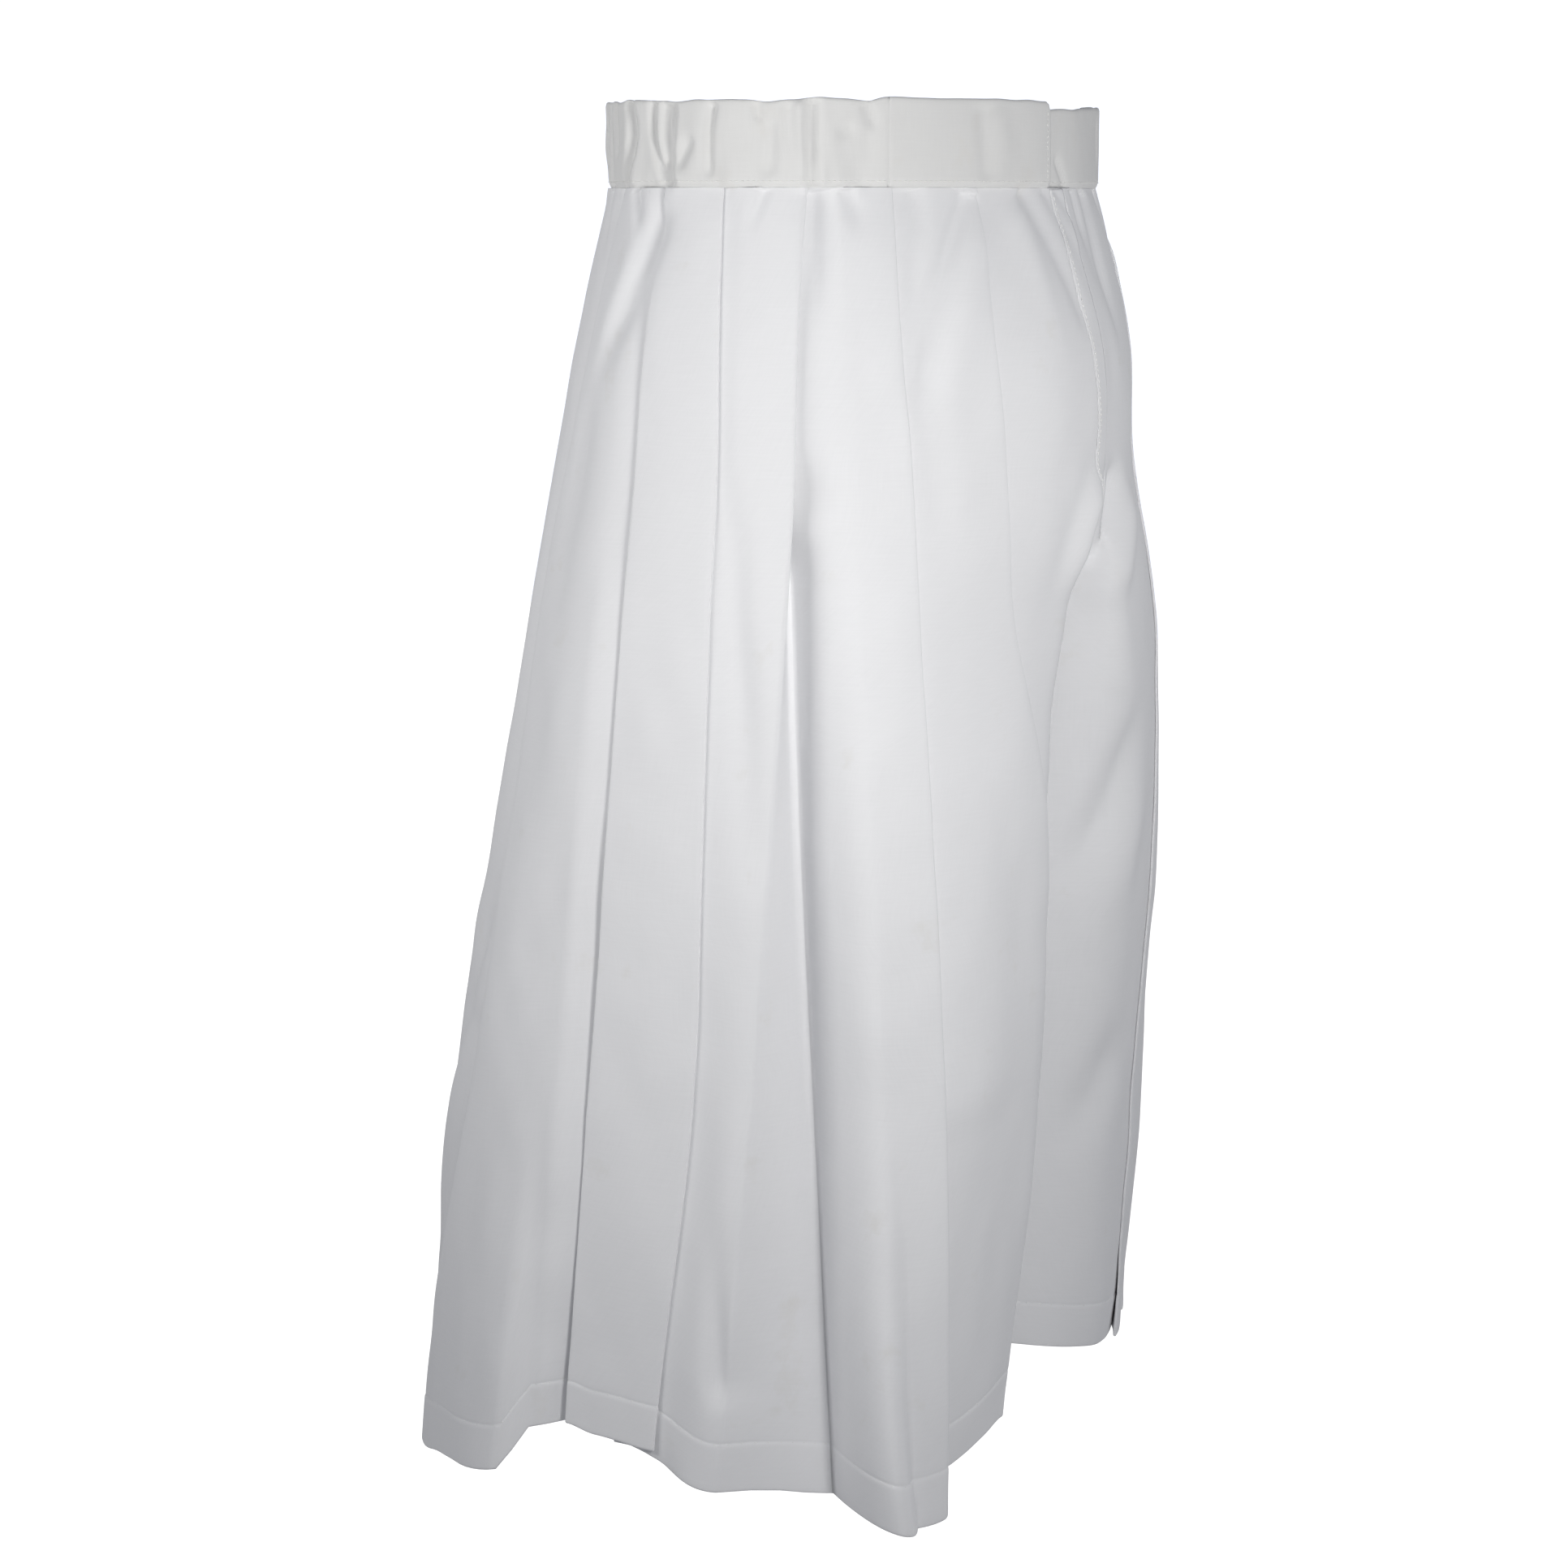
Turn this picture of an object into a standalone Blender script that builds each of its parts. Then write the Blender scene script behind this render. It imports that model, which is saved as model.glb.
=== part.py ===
"""Folk breeches in white cotton: two wide pleated legs under a waistband.

Metres, +Z up. The wearer's front is -Y and the wearer's left is +X. The origin
is the centre of the waist at half the height of the waistband. Every cloth
piece is a wall through level sections. A section is worked out from the sizes
in the level tables, and the pleats are laid along it from the pleat tables.
"""
import math

import bmesh
import bpy
import numpy as np

# Driving sizes
BAND_HEIGHT = 0.045        # waistband, top to seam
BAND_WALL = 0.003          # double cloth with the elastic or interfacing inside
BAND_OUT = 0.0014          # how far its outer face lies outside the base section
LEG_LENGTH = 0.6575        # waist seam to hem
HEM_HEIGHT = 0.025         # turned hem
CLOTH = 0.0012             # one layer of cotton
SEAM_GAP = 0.0003          # between pieces that are sewn together
SEAM_Z = -BAND_HEIGHT / 2 - SEAM_GAP

# Centre seam and crotch seam. At the first drop the seam turns under the body,
# and its reach is how far from the waist's centre it lies there.
RISE_START = {"front": 0.150, "back": 0.130}
RISE_REACH = {"front": 0.146, "back": 0.143}
CROTCH_DROP = 0.205        # lowest point of the crotch seam
CROTCH_Y = 0.008           # its place between front and back

# Waistband, in metres along the waist from the centre front to the wearer's left
ELASTIC_START = 0.1315     # smooth front to gathered back, on both sides
LAP_END = -0.016           # end of the right front, which laps over the left one
LAP_UNDER = -0.060         # hidden end of the left front
LAP_RISES = 0.034          # length over which the left front comes out from under
LAP_LOW = 0.004            # how much lower the left front's top is at the lap
GATHERS = 26               # soft creases over the elastic
GATHER_DEPTH = 0.0011
GATHER_STATIONS = 4        # stations on each gather
BAND_ROWS = (-0.5, -0.2, 0.2, 0.5)   # heights of the rows, in band heights
FRONT_STEP = 0.014         # between two stations of the smooth front

# Base sections of a leg, one row for each level. "front" is how far the front
# lies ahead of the waist's centre, "front_x" how far that foremost point is
# from the midplane, "side" the widest point, "back" the rearmost, "inner" the
# gap from the midplane to the inner leg, and the squareness of its corners.
LEVEL_COLUMNS = (
    "drop", "front", "front_x", "side", "side_y", "back", "back_x",
    "inner", "inner_y", "square_front", "square_back")
RIGHT_LEVELS = (
    (0.000, 0.1200, 0.0002, 0.158, 0.000, 0.1205, 0.0002, 0.0002, 0.008, 2.10, 2.10),
    (0.035, 0.1310, 0.0002, 0.165, 0.002, 0.1290, 0.0002, 0.0002, 0.008, 2.10, 2.10),
    (0.080, 0.1440, 0.0002, 0.174, 0.004, 0.1370, 0.0002, 0.0003, 0.008, 2.00, 2.10),
    (0.150, 0.1460, 0.0010, 0.184, 0.006, 0.1470, 0.0060, 0.0008, 0.008, 2.00, 2.15),
    (0.215, 0.1360, 0.0260, 0.191, 0.010, 0.1520, 0.0300, 0.0008, 0.010, 2.15, 2.15),
    (0.330, 0.1390, 0.0550, 0.200, 0.016, 0.1640, 0.0600, 0.0020, 0.016, 2.15, 2.15),
    (0.480, 0.1370, 0.0700, 0.210, 0.022, 0.1860, 0.0850, 0.0030, 0.022, 2.15, 2.15),
    (0.6575, 0.1280, 0.0750, 0.220, 0.026, 0.1980, 0.1000, 0.0040, 0.026, 2.90, 2.15))
LEFT_LEVELS = (
    (0.000, 0.1200, 0.0002, 0.158, 0.000, 0.1205, 0.0002, 0.0002, 0.008, 2.10, 2.10),
    (0.035, 0.1310, 0.0002, 0.165, 0.002, 0.1290, 0.0002, 0.0002, 0.008, 2.10, 2.10),
    (0.080, 0.1440, 0.0002, 0.174, 0.004, 0.1370, 0.0002, 0.0003, 0.008, 2.00, 2.10),
    (0.150, 0.1460, 0.0010, 0.186, 0.006, 0.1470, 0.0060, 0.0008, 0.008, 2.00, 2.15),
    (0.215, 0.1490, 0.0260, 0.193, 0.010, 0.1520, 0.0300, 0.0008, 0.010, 2.15, 2.15),
    (0.330, 0.1450, 0.0550, 0.200, 0.016, 0.1640, 0.0600, 0.0020, 0.016, 2.15, 2.15),
    (0.480, 0.1340, 0.0700, 0.208, 0.022, 0.1820, 0.0850, 0.0030, 0.022, 2.15, 2.15),
    (0.6575, 0.1240, 0.0700, 0.205, 0.026, 0.1920, 0.1000, 0.0040, 0.026, 3.20, 2.15))

# Knife pleats, counted from the side seam. The first six numbers are the place
# of the pressed edge, along the section from its widest point, at the drops in
# PLEAT_STOPS. "opens" is the drop where the pleat starts to open, "pace" how it
# goes on (1 evenly, less for a pleat that opens at once), "turn" how far its
# edge still folds back at the hem (180 is flat), "under" the depth of
# cloth under it at the seam and the hem, "lift" how far the edge stands out at
# the hem, "bulge" how far the panel before the edge swells there, and "dip"
# how much lower than the rest that panel's hem hangs.
PLEAT_STOPS = (0.0, 0.100, 0.215, 0.320, 0.430, 0.6575)
PLEAT_COLUMNS = (
    "opens", "pace", "turn", "under_seam", "under_hem", "lift", "bulge", "dip")
RIGHT_PLEATS = {
    "front": (
        ((0.004, 0.016, 0.023, 0.029, 0.034, 0.021), (0.60, 1.00, 175, 0.014, 0.024, 0.000, 0.000, -0.013)),
        ((0.048, 0.056, 0.063, 0.066, 0.068, 0.064), (0.12, 0.35, 26, 0.024, 0.066, 0.006, 0.000, 0.002)),
        ((0.092, 0.112, 0.131, 0.145, 0.156, 0.167), (0.45, 1.00, 115, 0.024, 0.040, 0.024, 0.022, 0.023)),
        ((0.144, 0.167, 0.196, 0.240, 0.256, 0.251), (0.35, 1.00, 75, 0.024, 0.040, 0.000, 0.004, -0.011))),
    "back": (
        ((0.032, 0.031, 0.028, 0.027, 0.026, 0.033), (0.30, 1.00, 100, 0.014, 0.030, 0.002, 0.000, -0.019)),
        ((0.070, 0.090, 0.111, 0.109, 0.112, 0.172), (0.42, 0.60, 80, 0.024, 0.045, 0.008, 0.000, 0.026)),
        ((0.118, 0.142, 0.165, 0.180, 0.198, 0.238), (0.35, 1.00, 70, 0.024, 0.034, 0.006, 0.008, 0.000)),
        ((0.168, 0.196, 0.215, 0.245, 0.270, 0.310), (0.35, 1.00, 70, 0.024, 0.032, 0.002, 0.008, 0.004)))}
LEFT_PLEATS = {
    "front": (
        ((0.004, 0.016, 0.023, 0.029, 0.034, 0.030), (0.55, 1.00, 150, 0.014, 0.026, 0.000, 0.000, 0.000)),
        ((0.048, 0.058, 0.070, 0.080, 0.090, 0.096), (0.35, 0.60, 150, 0.024, 0.028, 0.000, 0.004, 0.000)),
        ((0.092, 0.112, 0.135, 0.150, 0.160, 0.170), (0.45, 1.00, 150, 0.024, 0.028, 0.000, 0.002, 0.000)),
        ((0.144, 0.167, 0.196, 0.214, 0.226, 0.240), (0.60, 1.00, 172, 0.024, 0.026, 0.000, 0.000, 0.000))),
    "back": (
        ((0.032, 0.031, 0.030, 0.030, 0.030, 0.036), (0.45, 1.00, 120, 0.014, 0.026, 0.000, 0.000, 0.000)),
        ((0.070, 0.088, 0.104, 0.112, 0.122, 0.140), (0.35, 0.80, 80, 0.024, 0.036, 0.008, 0.012, 0.006)),
        ((0.118, 0.142, 0.165, 0.180, 0.198, 0.225), (0.35, 1.00, 70, 0.024, 0.034, 0.006, 0.010, 0.004)),
        ((0.168, 0.196, 0.215, 0.245, 0.270, 0.305), (0.35, 1.00, 70, 0.024, 0.032, 0.002, 0.008, 0.000)))}
SIDE_PANEL_MIDDLE = -0.014  # middle of the flat panel at the side, along the section
UNDER_PACE = 1.2           # how late the cloth under an opening pleat comes out

# Waves that only form near the hem. "rise", "crest" and "fall" are places along
# the section, "height" how far the crest stands out at the hem, "lower" how
# much lower it hangs there, and "start" the drop where the wave begins.
WAVE_COLUMNS = ("rise", "crest", "fall", "height", "lower", "start")
RIGHT_WAVES = {
    "front": ((0.060, 0.095, 0.150, 0.000, 0.008, 0.40),),
    "back": ((0.056, 0.074, 0.132, 0.026, 0.026, 0.46),)}
LEFT_WAVES = {
    "front": ((0.225, 0.265, 0.420, 0.000, -0.016, 0.40),),
    "back": ()}

# Bend radii of a pleat's folds: pressed at the seam, what the hem adds, and
# what a fully opened ridge and valley add
PRESSED_BEND = 0.0010
HEM_BEND = 0.0015
OPEN_RIDGE_BEND = 0.005
OPEN_VALLEY_BEND = 0.012
OPENING_SHARE = 0.15       # share of the opening length over which a pleat lets go
LIFT_START = 0.15          # share of the leg's length above which no edge lifts
LOOSE_ANGLE = math.radians(50)   # opened this far, a pleat leaves the next panel free
FOLD_CLEARANCE = 0.003     # kept before a fold that covers the panel's end
LAST_FLATTENS = 0.35       # share of the last panel over which it meets the section

# Rows of the walls: drop on the outer cloth, and along the rise and the inseam.
# Two rows close together are the upper edge of the turned hem.
OUTER_ROWS = (
    0.0, 0.030, 0.070, 0.115, 0.138, 0.165, 0.220, 0.285,
    0.355, 0.430, 0.505, 0.570, 0.6315, 0.6325, 0.6575)
EDGE_ROWS = (
    0.0, 0.045, 0.100, 0.150, 0.1620, 0.1740, 0.1960, 0.205,
    0.290, 0.380, 0.470, 0.550, 0.6315, 0.6325, 0.6575)
EDGE_PULL = 1.6            # how fast the rows bend from the outer drops to the edge's
FIRST_STEPS = (0.0, 0.55, 1.0)               # stations on the side panel's half
PANEL_STEPS = (0.0, 0.16, 0.31, 0.50, 0.69, 1.0)   # on each panel between two pleats
BEND_STEPS = 3                               # facets round a fold
LAST_STEPS = (0.08, 0.20, 0.33, 0.45, 0.56, 0.66, 0.76, 0.85, 0.93, 1.0)
FLY_STATIONS = 3           # stations of the right front, from the centre, under the fly
FLY_ROWS = 6               # rows from the waist seam down

SECTION_POINTS = 241       # points used to measure along a half section
NORMAL_STEP = 0.012        # step along a section that gives its direction
INNER_SQUARE = 2.6         # squareness of a section's inner corners
MITRE_LEAST = 0.5          # sharpest corner's share that a wall's mitre still follows
COTTON = (0.86, 0.86, 0.87)
BAND_COTTON = (0.87, 0.86, 0.83)
CLOTH_ROUGHNESS = 0.85


def column(table, names, name):
    return np.array([row[names.index(name)] for row in table])


def smooth_between(x, stops, values):
    """A cubic through the values at the stops, with slopes from their neighbours."""
    stops, values = np.asarray(stops), np.asarray(values)
    slopes = np.gradient(values, stops)
    x = np.clip(x, stops[0], stops[-1])
    k = np.clip(np.searchsorted(stops, x, side="right") - 1, 0, len(stops) - 2)
    span = stops[k + 1] - stops[k]
    t = (x - stops[k]) / span
    return ((2 * t ** 3 - 3 * t ** 2 + 1) * values[k]
            + (t ** 3 - 2 * t ** 2 + t) * span * slopes[k]
            + (3 * t ** 2 - 2 * t ** 3) * values[k + 1]
            + (t ** 3 - t ** 2) * span * slopes[k + 1])


def ease(x):
    """0 below 0, 1 above 1, with a soft start and end."""
    x = np.clip(x, 0.0, 1.0)
    return x * x * (3 - 2 * x)


def centre_seam_y(drop, half):
    """Where a half section ends below the rise: an ellipse's quarter under the body."""
    sign = -1.0 if half == "front" else 1.0
    start = RISE_START[half]
    turn = np.clip((drop - start) / (CROTCH_DROP - start), 0.0, 1.0)
    return CROTCH_Y + (sign * RISE_REACH[half] - CROTCH_Y) * np.sqrt(1 - turn ** 2)


def section_point(levels, half, drop, u):
    """A point of the base section. u runs 0 to 1 over the outer quarter from
    the widest point to the foremost or rearmost one, and 1 to 2 over the inner
    quarter. Each quarter is a superellipse."""
    drop, u = np.broadcast_arrays(np.asarray(drop, float), np.asarray(u, float))
    stops = column(levels, LEVEL_COLUMNS, "drop")
    at = {name: smooth_between(drop, stops, column(levels, LEVEL_COLUMNS, name))
          for name in LEVEL_COLUMNS[1:]}
    sign = -1.0 if half == "front" else 1.0
    reach = sign * at[half]
    x_end = at[half + "_x"]
    power = 2 / at["square_" + half]
    inner_power = 2 / INNER_SQUARE
    inner_y = np.where(drop < CROTCH_DROP, centre_seam_y(drop, half), at["inner_y"])
    inner_y = np.where(drop < RISE_START[half], reach, inner_y)
    angle = np.clip(u, 0, 1) * math.pi / 2
    x = -x_end - (at["side"] - x_end) * np.cos(angle) ** power
    y = at["side_y"] + (reach - at["side_y"]) * np.sin(angle) ** power
    angle = np.clip(u - 1, 0, 1) * math.pi / 2
    inner_x = -x_end + (x_end - at["inner"]) * np.sin(angle) ** inner_power
    inner_side = inner_y + (reach - inner_y) * np.cos(angle) ** inner_power
    return np.where(u <= 1, x, inner_x), np.where(u <= 1, y, inner_side)


def along_section(levels, half, drop, run):
    """The point at a run along the section, and the outward normal there. A run
    below zero lies on the other half."""
    drop, run = np.broadcast_arrays(np.asarray(drop, float), np.asarray(run, float))
    other = "back" if half == "front" else "front"
    u = np.linspace(0, 2, SECTION_POINTS)
    out = np.zeros(drop.shape + (4,))
    for side, chosen in ((half, run >= 0), (other, run < 0)):
        if not chosen.any():
            continue
        d, target = drop[chosen], np.abs(run[chosen])
        x, y = section_point(levels, side, d[:, None], u[None, :])
        steps = np.hypot(np.diff(x, axis=1), np.diff(y, axis=1))
        length = np.concatenate([np.zeros((len(d), 1)), np.cumsum(steps, axis=1)], axis=1)
        k = np.clip((length < target[:, None]).sum(axis=1) - 1, 0, len(u) - 2)
        rows = np.arange(len(d))
        part = np.clip((target - length[rows, k]) / np.maximum(steps[rows, k], 1e-9), 0, 1)
        place = u[k] + part * (u[1] - u[0])
        px, py = section_point(levels, side, d, place)
        ax, ay = section_point(levels, side, d, np.clip(place - NORMAL_STEP, 0, 2))
        bx, by = section_point(levels, side, d, np.clip(place + NORMAL_STEP, 0, 2))
        flip = 1.0 if side == "front" else -1.0
        size = np.maximum(np.hypot(bx - ax, by - ay), 1e-12)
        out[chosen] = np.stack([px, py, (by - ay) / size * flip, -(bx - ax) / size * flip], axis=-1)
    return out


def section_length(levels, half, drop):
    u = np.linspace(0, 2, SECTION_POINTS)
    x, y = section_point(levels, half, np.asarray(drop, float)[..., None], u)
    return np.hypot(np.diff(x, axis=-1), np.diff(y, axis=-1)).sum(axis=-1)


def pleat_sizes(pleat, drop):
    """Edge place, turn, bend radii, depth of cloth under, lift, bulge and dip."""
    places, values = pleat
    size = dict(zip(PLEAT_COLUMNS, values))
    down = drop / LEG_LENGTH
    down_open = np.clip((drop - size["opens"]) / (LEG_LENGTH - size["opens"]), 0, 1)
    opened = ease(down_open / OPENING_SHARE) * down_open ** size["pace"]
    turn = np.radians(180 - (180 - size["turn"]) * opened)
    unbent = opened * (math.pi - turn) / math.pi
    pressed = PRESSED_BEND + HEM_BEND * down ** 2
    pressed_under = size["under_seam"] * (1 - opened) ** 2
    return {
        "edge": smooth_between(drop, PLEAT_STOPS, places),
        "turn": turn,
        "ridge_bend": pressed + OPEN_RIDGE_BEND * unbent,
        "valley_bend": pressed + OPEN_VALLEY_BEND * unbent,
        "under": pressed_under + size["under_hem"] * opened * down ** UNDER_PACE,
        "lift": size["lift"] * ease((1 + LIFT_START) * down - LIFT_START),
        "bulge": size["bulge"] * opened,
        "dip": size["dip"]}


def half_path(levels, pleats, half, side_dip, drop_at,
              first_steps, panel_steps, bend_steps, last_steps):
    """The cloth's path along a half section, station by station.

    Returns four grids: each station's place along the base section, how far it
    stands out of it, its own drop, and how much its panel dips at the hem.
    side_dip is the dip in the middle of the side panel. drop_at gives the drops
    of the rows for a share 0 to 1 of the last panel."""
    drop = drop_at(0.0)
    before_run = np.full_like(drop, SIDE_PANEL_MIDDLE * (1.0 if half == "front" else -1.0))
    before_out = np.zeros_like(drop)
    before_dip = side_dip
    covered = np.zeros_like(drop)
    loose = np.zeros_like(drop)
    stations = []
    for number, pleat in enumerate(pleats):
        size = pleat_sizes(pleat, drop)
        turn, ridge, valley = size["turn"], size["ridge_bend"], size["valley_bend"]
        under, dip = size["under"], size["dip"]
        rise = size["lift"] - before_out
        width = size["edge"] - ridge - before_run

        # The panel: level while the last pleat covers it, then up to its own
        # edge before its own underlay comes below it, or one wave once free
        ahead = np.maximum(-2 * ridge * np.sin(turn) - under * np.cos(turn), 0)
        reach = np.maximum(1 - (ahead + FOLD_CLEARANCE) / width, 0.3)
        hidden = covered / width
        for share in panel_steps if number else first_steps:
            risen = np.minimum(share / reach, 1)
            level = ease((share - hidden) / (reach - hidden))
            wave = np.sin(math.pi / 2 * risen)
            out = before_out + rise * (level + (wave - level) * loose)
            out = out + size["bulge"] * np.sin(math.pi * risen) * loose
            low = before_dip + (dip - before_dip) * ease(share)
            stations.append((before_run + width * share, out, drop, low))

        # The ridge bend, the cloth under it and the valley bend
        at_run, at_out = before_run + width, size["lift"]
        for share in np.linspace(0, 1, bend_steps + 1)[1:]:
            bent = turn * share
            stations.append((at_run + ridge * np.sin(bent),
                             at_out - ridge * (1 - np.cos(bent)), drop, dip))
        low_run = at_run + ridge * np.sin(turn) + under * np.cos(turn)
        low_out = at_out - ridge * (1 - np.cos(turn)) - under * np.sin(turn)
        stations.append((low_run, low_out, drop, dip))
        for share in np.linspace(0, 1, bend_steps + 1)[1:-1]:
            bent = turn * (1 - share)
            stations.append((low_run + valley * (np.sin(turn) - np.sin(bent)),
                             low_out - valley * (np.cos(bent) - np.cos(turn)), drop, dip))
        before_run = low_run + valley * np.sin(turn)
        before_out = low_out - valley * (1 - np.cos(turn))
        before_dip = dip
        covered = np.maximum(size["edge"] - before_run, 0)
        loose = ease((math.pi - turn) / LOOSE_ANGLE)

    # The last panel runs to the centre seam or the inseam
    left = section_length(levels, half, drop_at(1.0)) - before_run
    for share in last_steps:
        out = before_out * (1 - ease((share - covered / left) / LAST_FLATTENS))
        low = before_dip * (1 - ease(share / 0.7))
        stations.append((before_run + left * share, out, drop_at(share), low))
    grid = [[np.broadcast_to(value, drop.shape) for value in station] for station in stations]
    return np.array(grid).transpose(1, 0, 2)


def hem_waves(waves, run, drop):
    """How far the waves stand out, and how much lower they hang."""
    out = np.zeros_like(run)
    low = np.zeros_like(run)
    for wave in waves:
        size = dict(zip(WAVE_COLUMNS, wave))
        shape = ease((run - size["rise"]) / (size["crest"] - size["rise"]))
        shape = shape * (1 - ease((run - size["crest"]) / (size["fall"] - size["crest"])))
        shape = shape * ease((drop - size["start"]) / (LEG_LENGTH - size["start"]))
        out = out + size["height"] * shape
        low = low + size["lower"] * shape
    return out, low


def leg_points(levels, pleats, waves, half, mirror, outer_rows, edge_rows,
               first_steps, panel_steps, bend_steps, last_steps):
    """Middle points of one half of a leg's cloth, as a grid with a station in
    each row and a drop in each column."""
    outer_rows, edge_rows = np.asarray(outer_rows), np.asarray(edge_rows)

    def drop_at(share):
        return outer_rows + (edge_rows - outer_rows) * share ** EDGE_PULL

    dips = PLEAT_COLUMNS.index("dip")
    side_dip = (pleats["front"][0][1][dips] + pleats["back"][0][1][dips]) / 2
    run, out, drop, dip = half_path(
        levels, pleats[half], half, side_dip, drop_at,
        first_steps, panel_steps, bend_steps, last_steps)
    wave_out, wave_low = hem_waves(waves[half], run, drop)
    out = out + wave_out
    base = along_section(levels, half, drop, run)
    x = base[..., 0] + base[..., 2] * out
    y = base[..., 1] + base[..., 3] * out
    z = SEAM_Z - drop - dip * (drop / LEG_LENGTH) ** 3 - wave_low
    return np.stack([x * mirror, y, z], axis=-1)


def closed_wall(name, outer, inner, colour, collection):
    """One closed body between two like grids of points, joined round the rim."""
    stations, rows = outer.shape[:2]
    count = stations * rows
    index = np.arange(count).reshape(stations, rows)
    a, b, c, d = index[:-1, :-1], index[1:, :-1], index[1:, 1:], index[:-1, 1:]
    middle = (outer + inner).reshape(-1, 3)
    shorter = (np.linalg.norm(middle[a] - middle[c], axis=-1)
               <= np.linalg.norm(middle[b] - middle[d], axis=-1))[..., None, None]
    across = np.where(shorter, np.stack([[a, d, c], [a, c, b]]).transpose(2, 3, 0, 1),
                      np.stack([[a, d, b], [d, c, b]]).transpose(2, 3, 0, 1)).reshape(-1, 3)
    rim = np.concatenate([index[:, 0], index[-1, 1:], index[-2::-1, -1], index[0, -2:0:-1]])
    after = np.roll(rim, -1)
    edge = np.concatenate([np.stack([rim, after, after + count], axis=-1),
                           np.stack([rim, after + count, rim + count], axis=-1)])
    faces = np.concatenate([across, across[:, ::-1] + count, edge])
    mesh = bpy.data.meshes.new(name)
    points = np.concatenate([outer.reshape(-1, 3), inner.reshape(-1, 3)])
    mesh.from_pydata(points.tolist(), [], faces.tolist())
    body = bmesh.new()
    body.from_mesh(mesh)
    if body.calc_volume(signed=True) < 0:
        bmesh.ops.reverse_faces(body, faces=body.faces)
    body.to_mesh(mesh)
    body.free()
    mesh.materials.append(colour)
    mesh.shade_smooth()
    thing = bpy.data.objects.new(name, mesh)
    collection.objects.link(thing)
    return thing


def level_normals(points):
    """Level normals of a grid of points, from the path's direction in each row.
    At a station the two runs beside it share the turn, as a mitre does."""
    runs = np.diff(points[..., :2], axis=0)
    runs /= np.maximum(np.linalg.norm(runs, axis=-1, keepdims=True), 1e-9)
    before = np.concatenate([runs[:1], runs])
    after = np.concatenate([runs, runs[-1:]])
    along = before + after
    size = np.maximum(np.linalg.norm(along, axis=-1, keepdims=True), 1e-9)
    mitre = 1 / np.maximum((before * along / size).sum(axis=-1, keepdims=True), MITRE_LEAST)
    along = along / size
    return np.stack([along[..., 1], -along[..., 0]], axis=-1) * mitre


def offset(points, normals, distance):
    moved = points.copy()
    moved[..., :2] += normals * np.asarray(distance)[..., None]
    return moved


def toward(points, others, distance):
    way = others - points
    return way * distance / np.maximum(np.linalg.norm(way, axis=-1, keepdims=True), 1e-9)


def keep_to_side(points, mirror):
    """Leaves half the seam gap free at the midplane."""
    points[..., 0] = mirror * np.minimum(mirror * points[..., 0], -SEAM_GAP / 2)
    return points


def cotton(name, colour, roughness):
    material = bpy.data.materials.new(name)
    material.use_nodes = True
    shader = material.node_tree.nodes["Principled BSDF"]
    shader.inputs["Base Color"].default_value = (*colour, 1.0)
    shader.inputs["Roughness"].default_value = roughness
    shader.inputs["Metallic"].default_value = 0.0
    return material


def build_leg(side, levels, pleats, waves, collection):
    """Front and back of one leg. They meet in the fold behind the first front
    pleat, where the side seam is hidden, and at the inseam. Returns the outer
    points of the whole leg and their normals."""
    mirror = 1.0 if side == "right" else -1.0
    front, back = (
        leg_points(levels, pleats, waves, half, mirror, OUTER_ROWS, EDGE_ROWS,
                   FIRST_STEPS, PANEL_STEPS, BEND_STEPS, LAST_STEPS)
        for half in ("front", "back"))
    whole = np.concatenate([back[::-1], front[1:]])
    normals = level_normals(whole) * mirror
    below_hem_edge = np.array(OUTER_ROWS) > LEG_LENGTH - HEM_HEIGHT - SEAM_GAP
    turned_up = np.where(below_hem_edge, CLOTH, 0.0)
    outside = np.full(whole.shape[:2], CLOTH / 2)
    outer = keep_to_side(offset(whole, normals, outside), mirror)
    inner = keep_to_side(offset(whole, normals, -outside - turned_up), mirror)
    seam = len(back) - 1 + len(FIRST_STEPS) - 1 + 2 * BEND_STEPS + 1
    for grid in (outer, inner):
        grid[0] += toward(grid[0], grid[1], SEAM_GAP / 2)
        grid[-1] += toward(grid[-1], grid[-2], SEAM_GAP / 2)
    closed_wall(f"leg_{side}_back", outer[:seam + 1], inner[:seam + 1],
                cotton(f"cotton_{side}_back", COTTON, CLOTH_ROUGHNESS), collection)
    for grid in (outer, inner):
        grid[seam] += toward(grid[seam], grid[seam + 1], SEAM_GAP)
    closed_wall(f"leg_{side}_front", outer[seam:], inner[seam:],
                cotton(f"cotton_{side}_front", COTTON, CLOTH_ROUGHNESS), collection)
    return outer, normals


def build_fly(outer, normals, collection):
    """Folded edge of the fly on the right front: the front's own outer points
    beside the centre seam, moved out by the seam gap and a layer of cloth."""
    face = outer[-FLY_STATIONS:, :FLY_ROWS]
    away = normals[-FLY_STATIONS:, :FLY_ROWS]
    under = keep_to_side(offset(face, away, np.full(face.shape[:2], SEAM_GAP)), 1.0)
    over = keep_to_side(offset(face, away, np.full(face.shape[:2], SEAM_GAP + CLOTH)), 1.0)
    closed_wall("fly_placket", over, under,
                cotton("cotton_fly", COTTON, CLOTH_ROUGHNESS), collection)


def waist_ring(place):
    """Points and normals of the waist's section, for places in metres from the
    centre front to the wearer's left."""
    run = section_length(RIGHT_LEVELS, "front", 0.0) - np.abs(place)
    base = along_section(RIGHT_LEVELS, "front", 0.0, run)
    side = np.where(place > 0, -1.0, 1.0)
    return (np.stack([base[..., 0] * side, base[..., 1]], axis=-1),
            np.stack([base[..., 2] * side, base[..., 3]], axis=-1))


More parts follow.
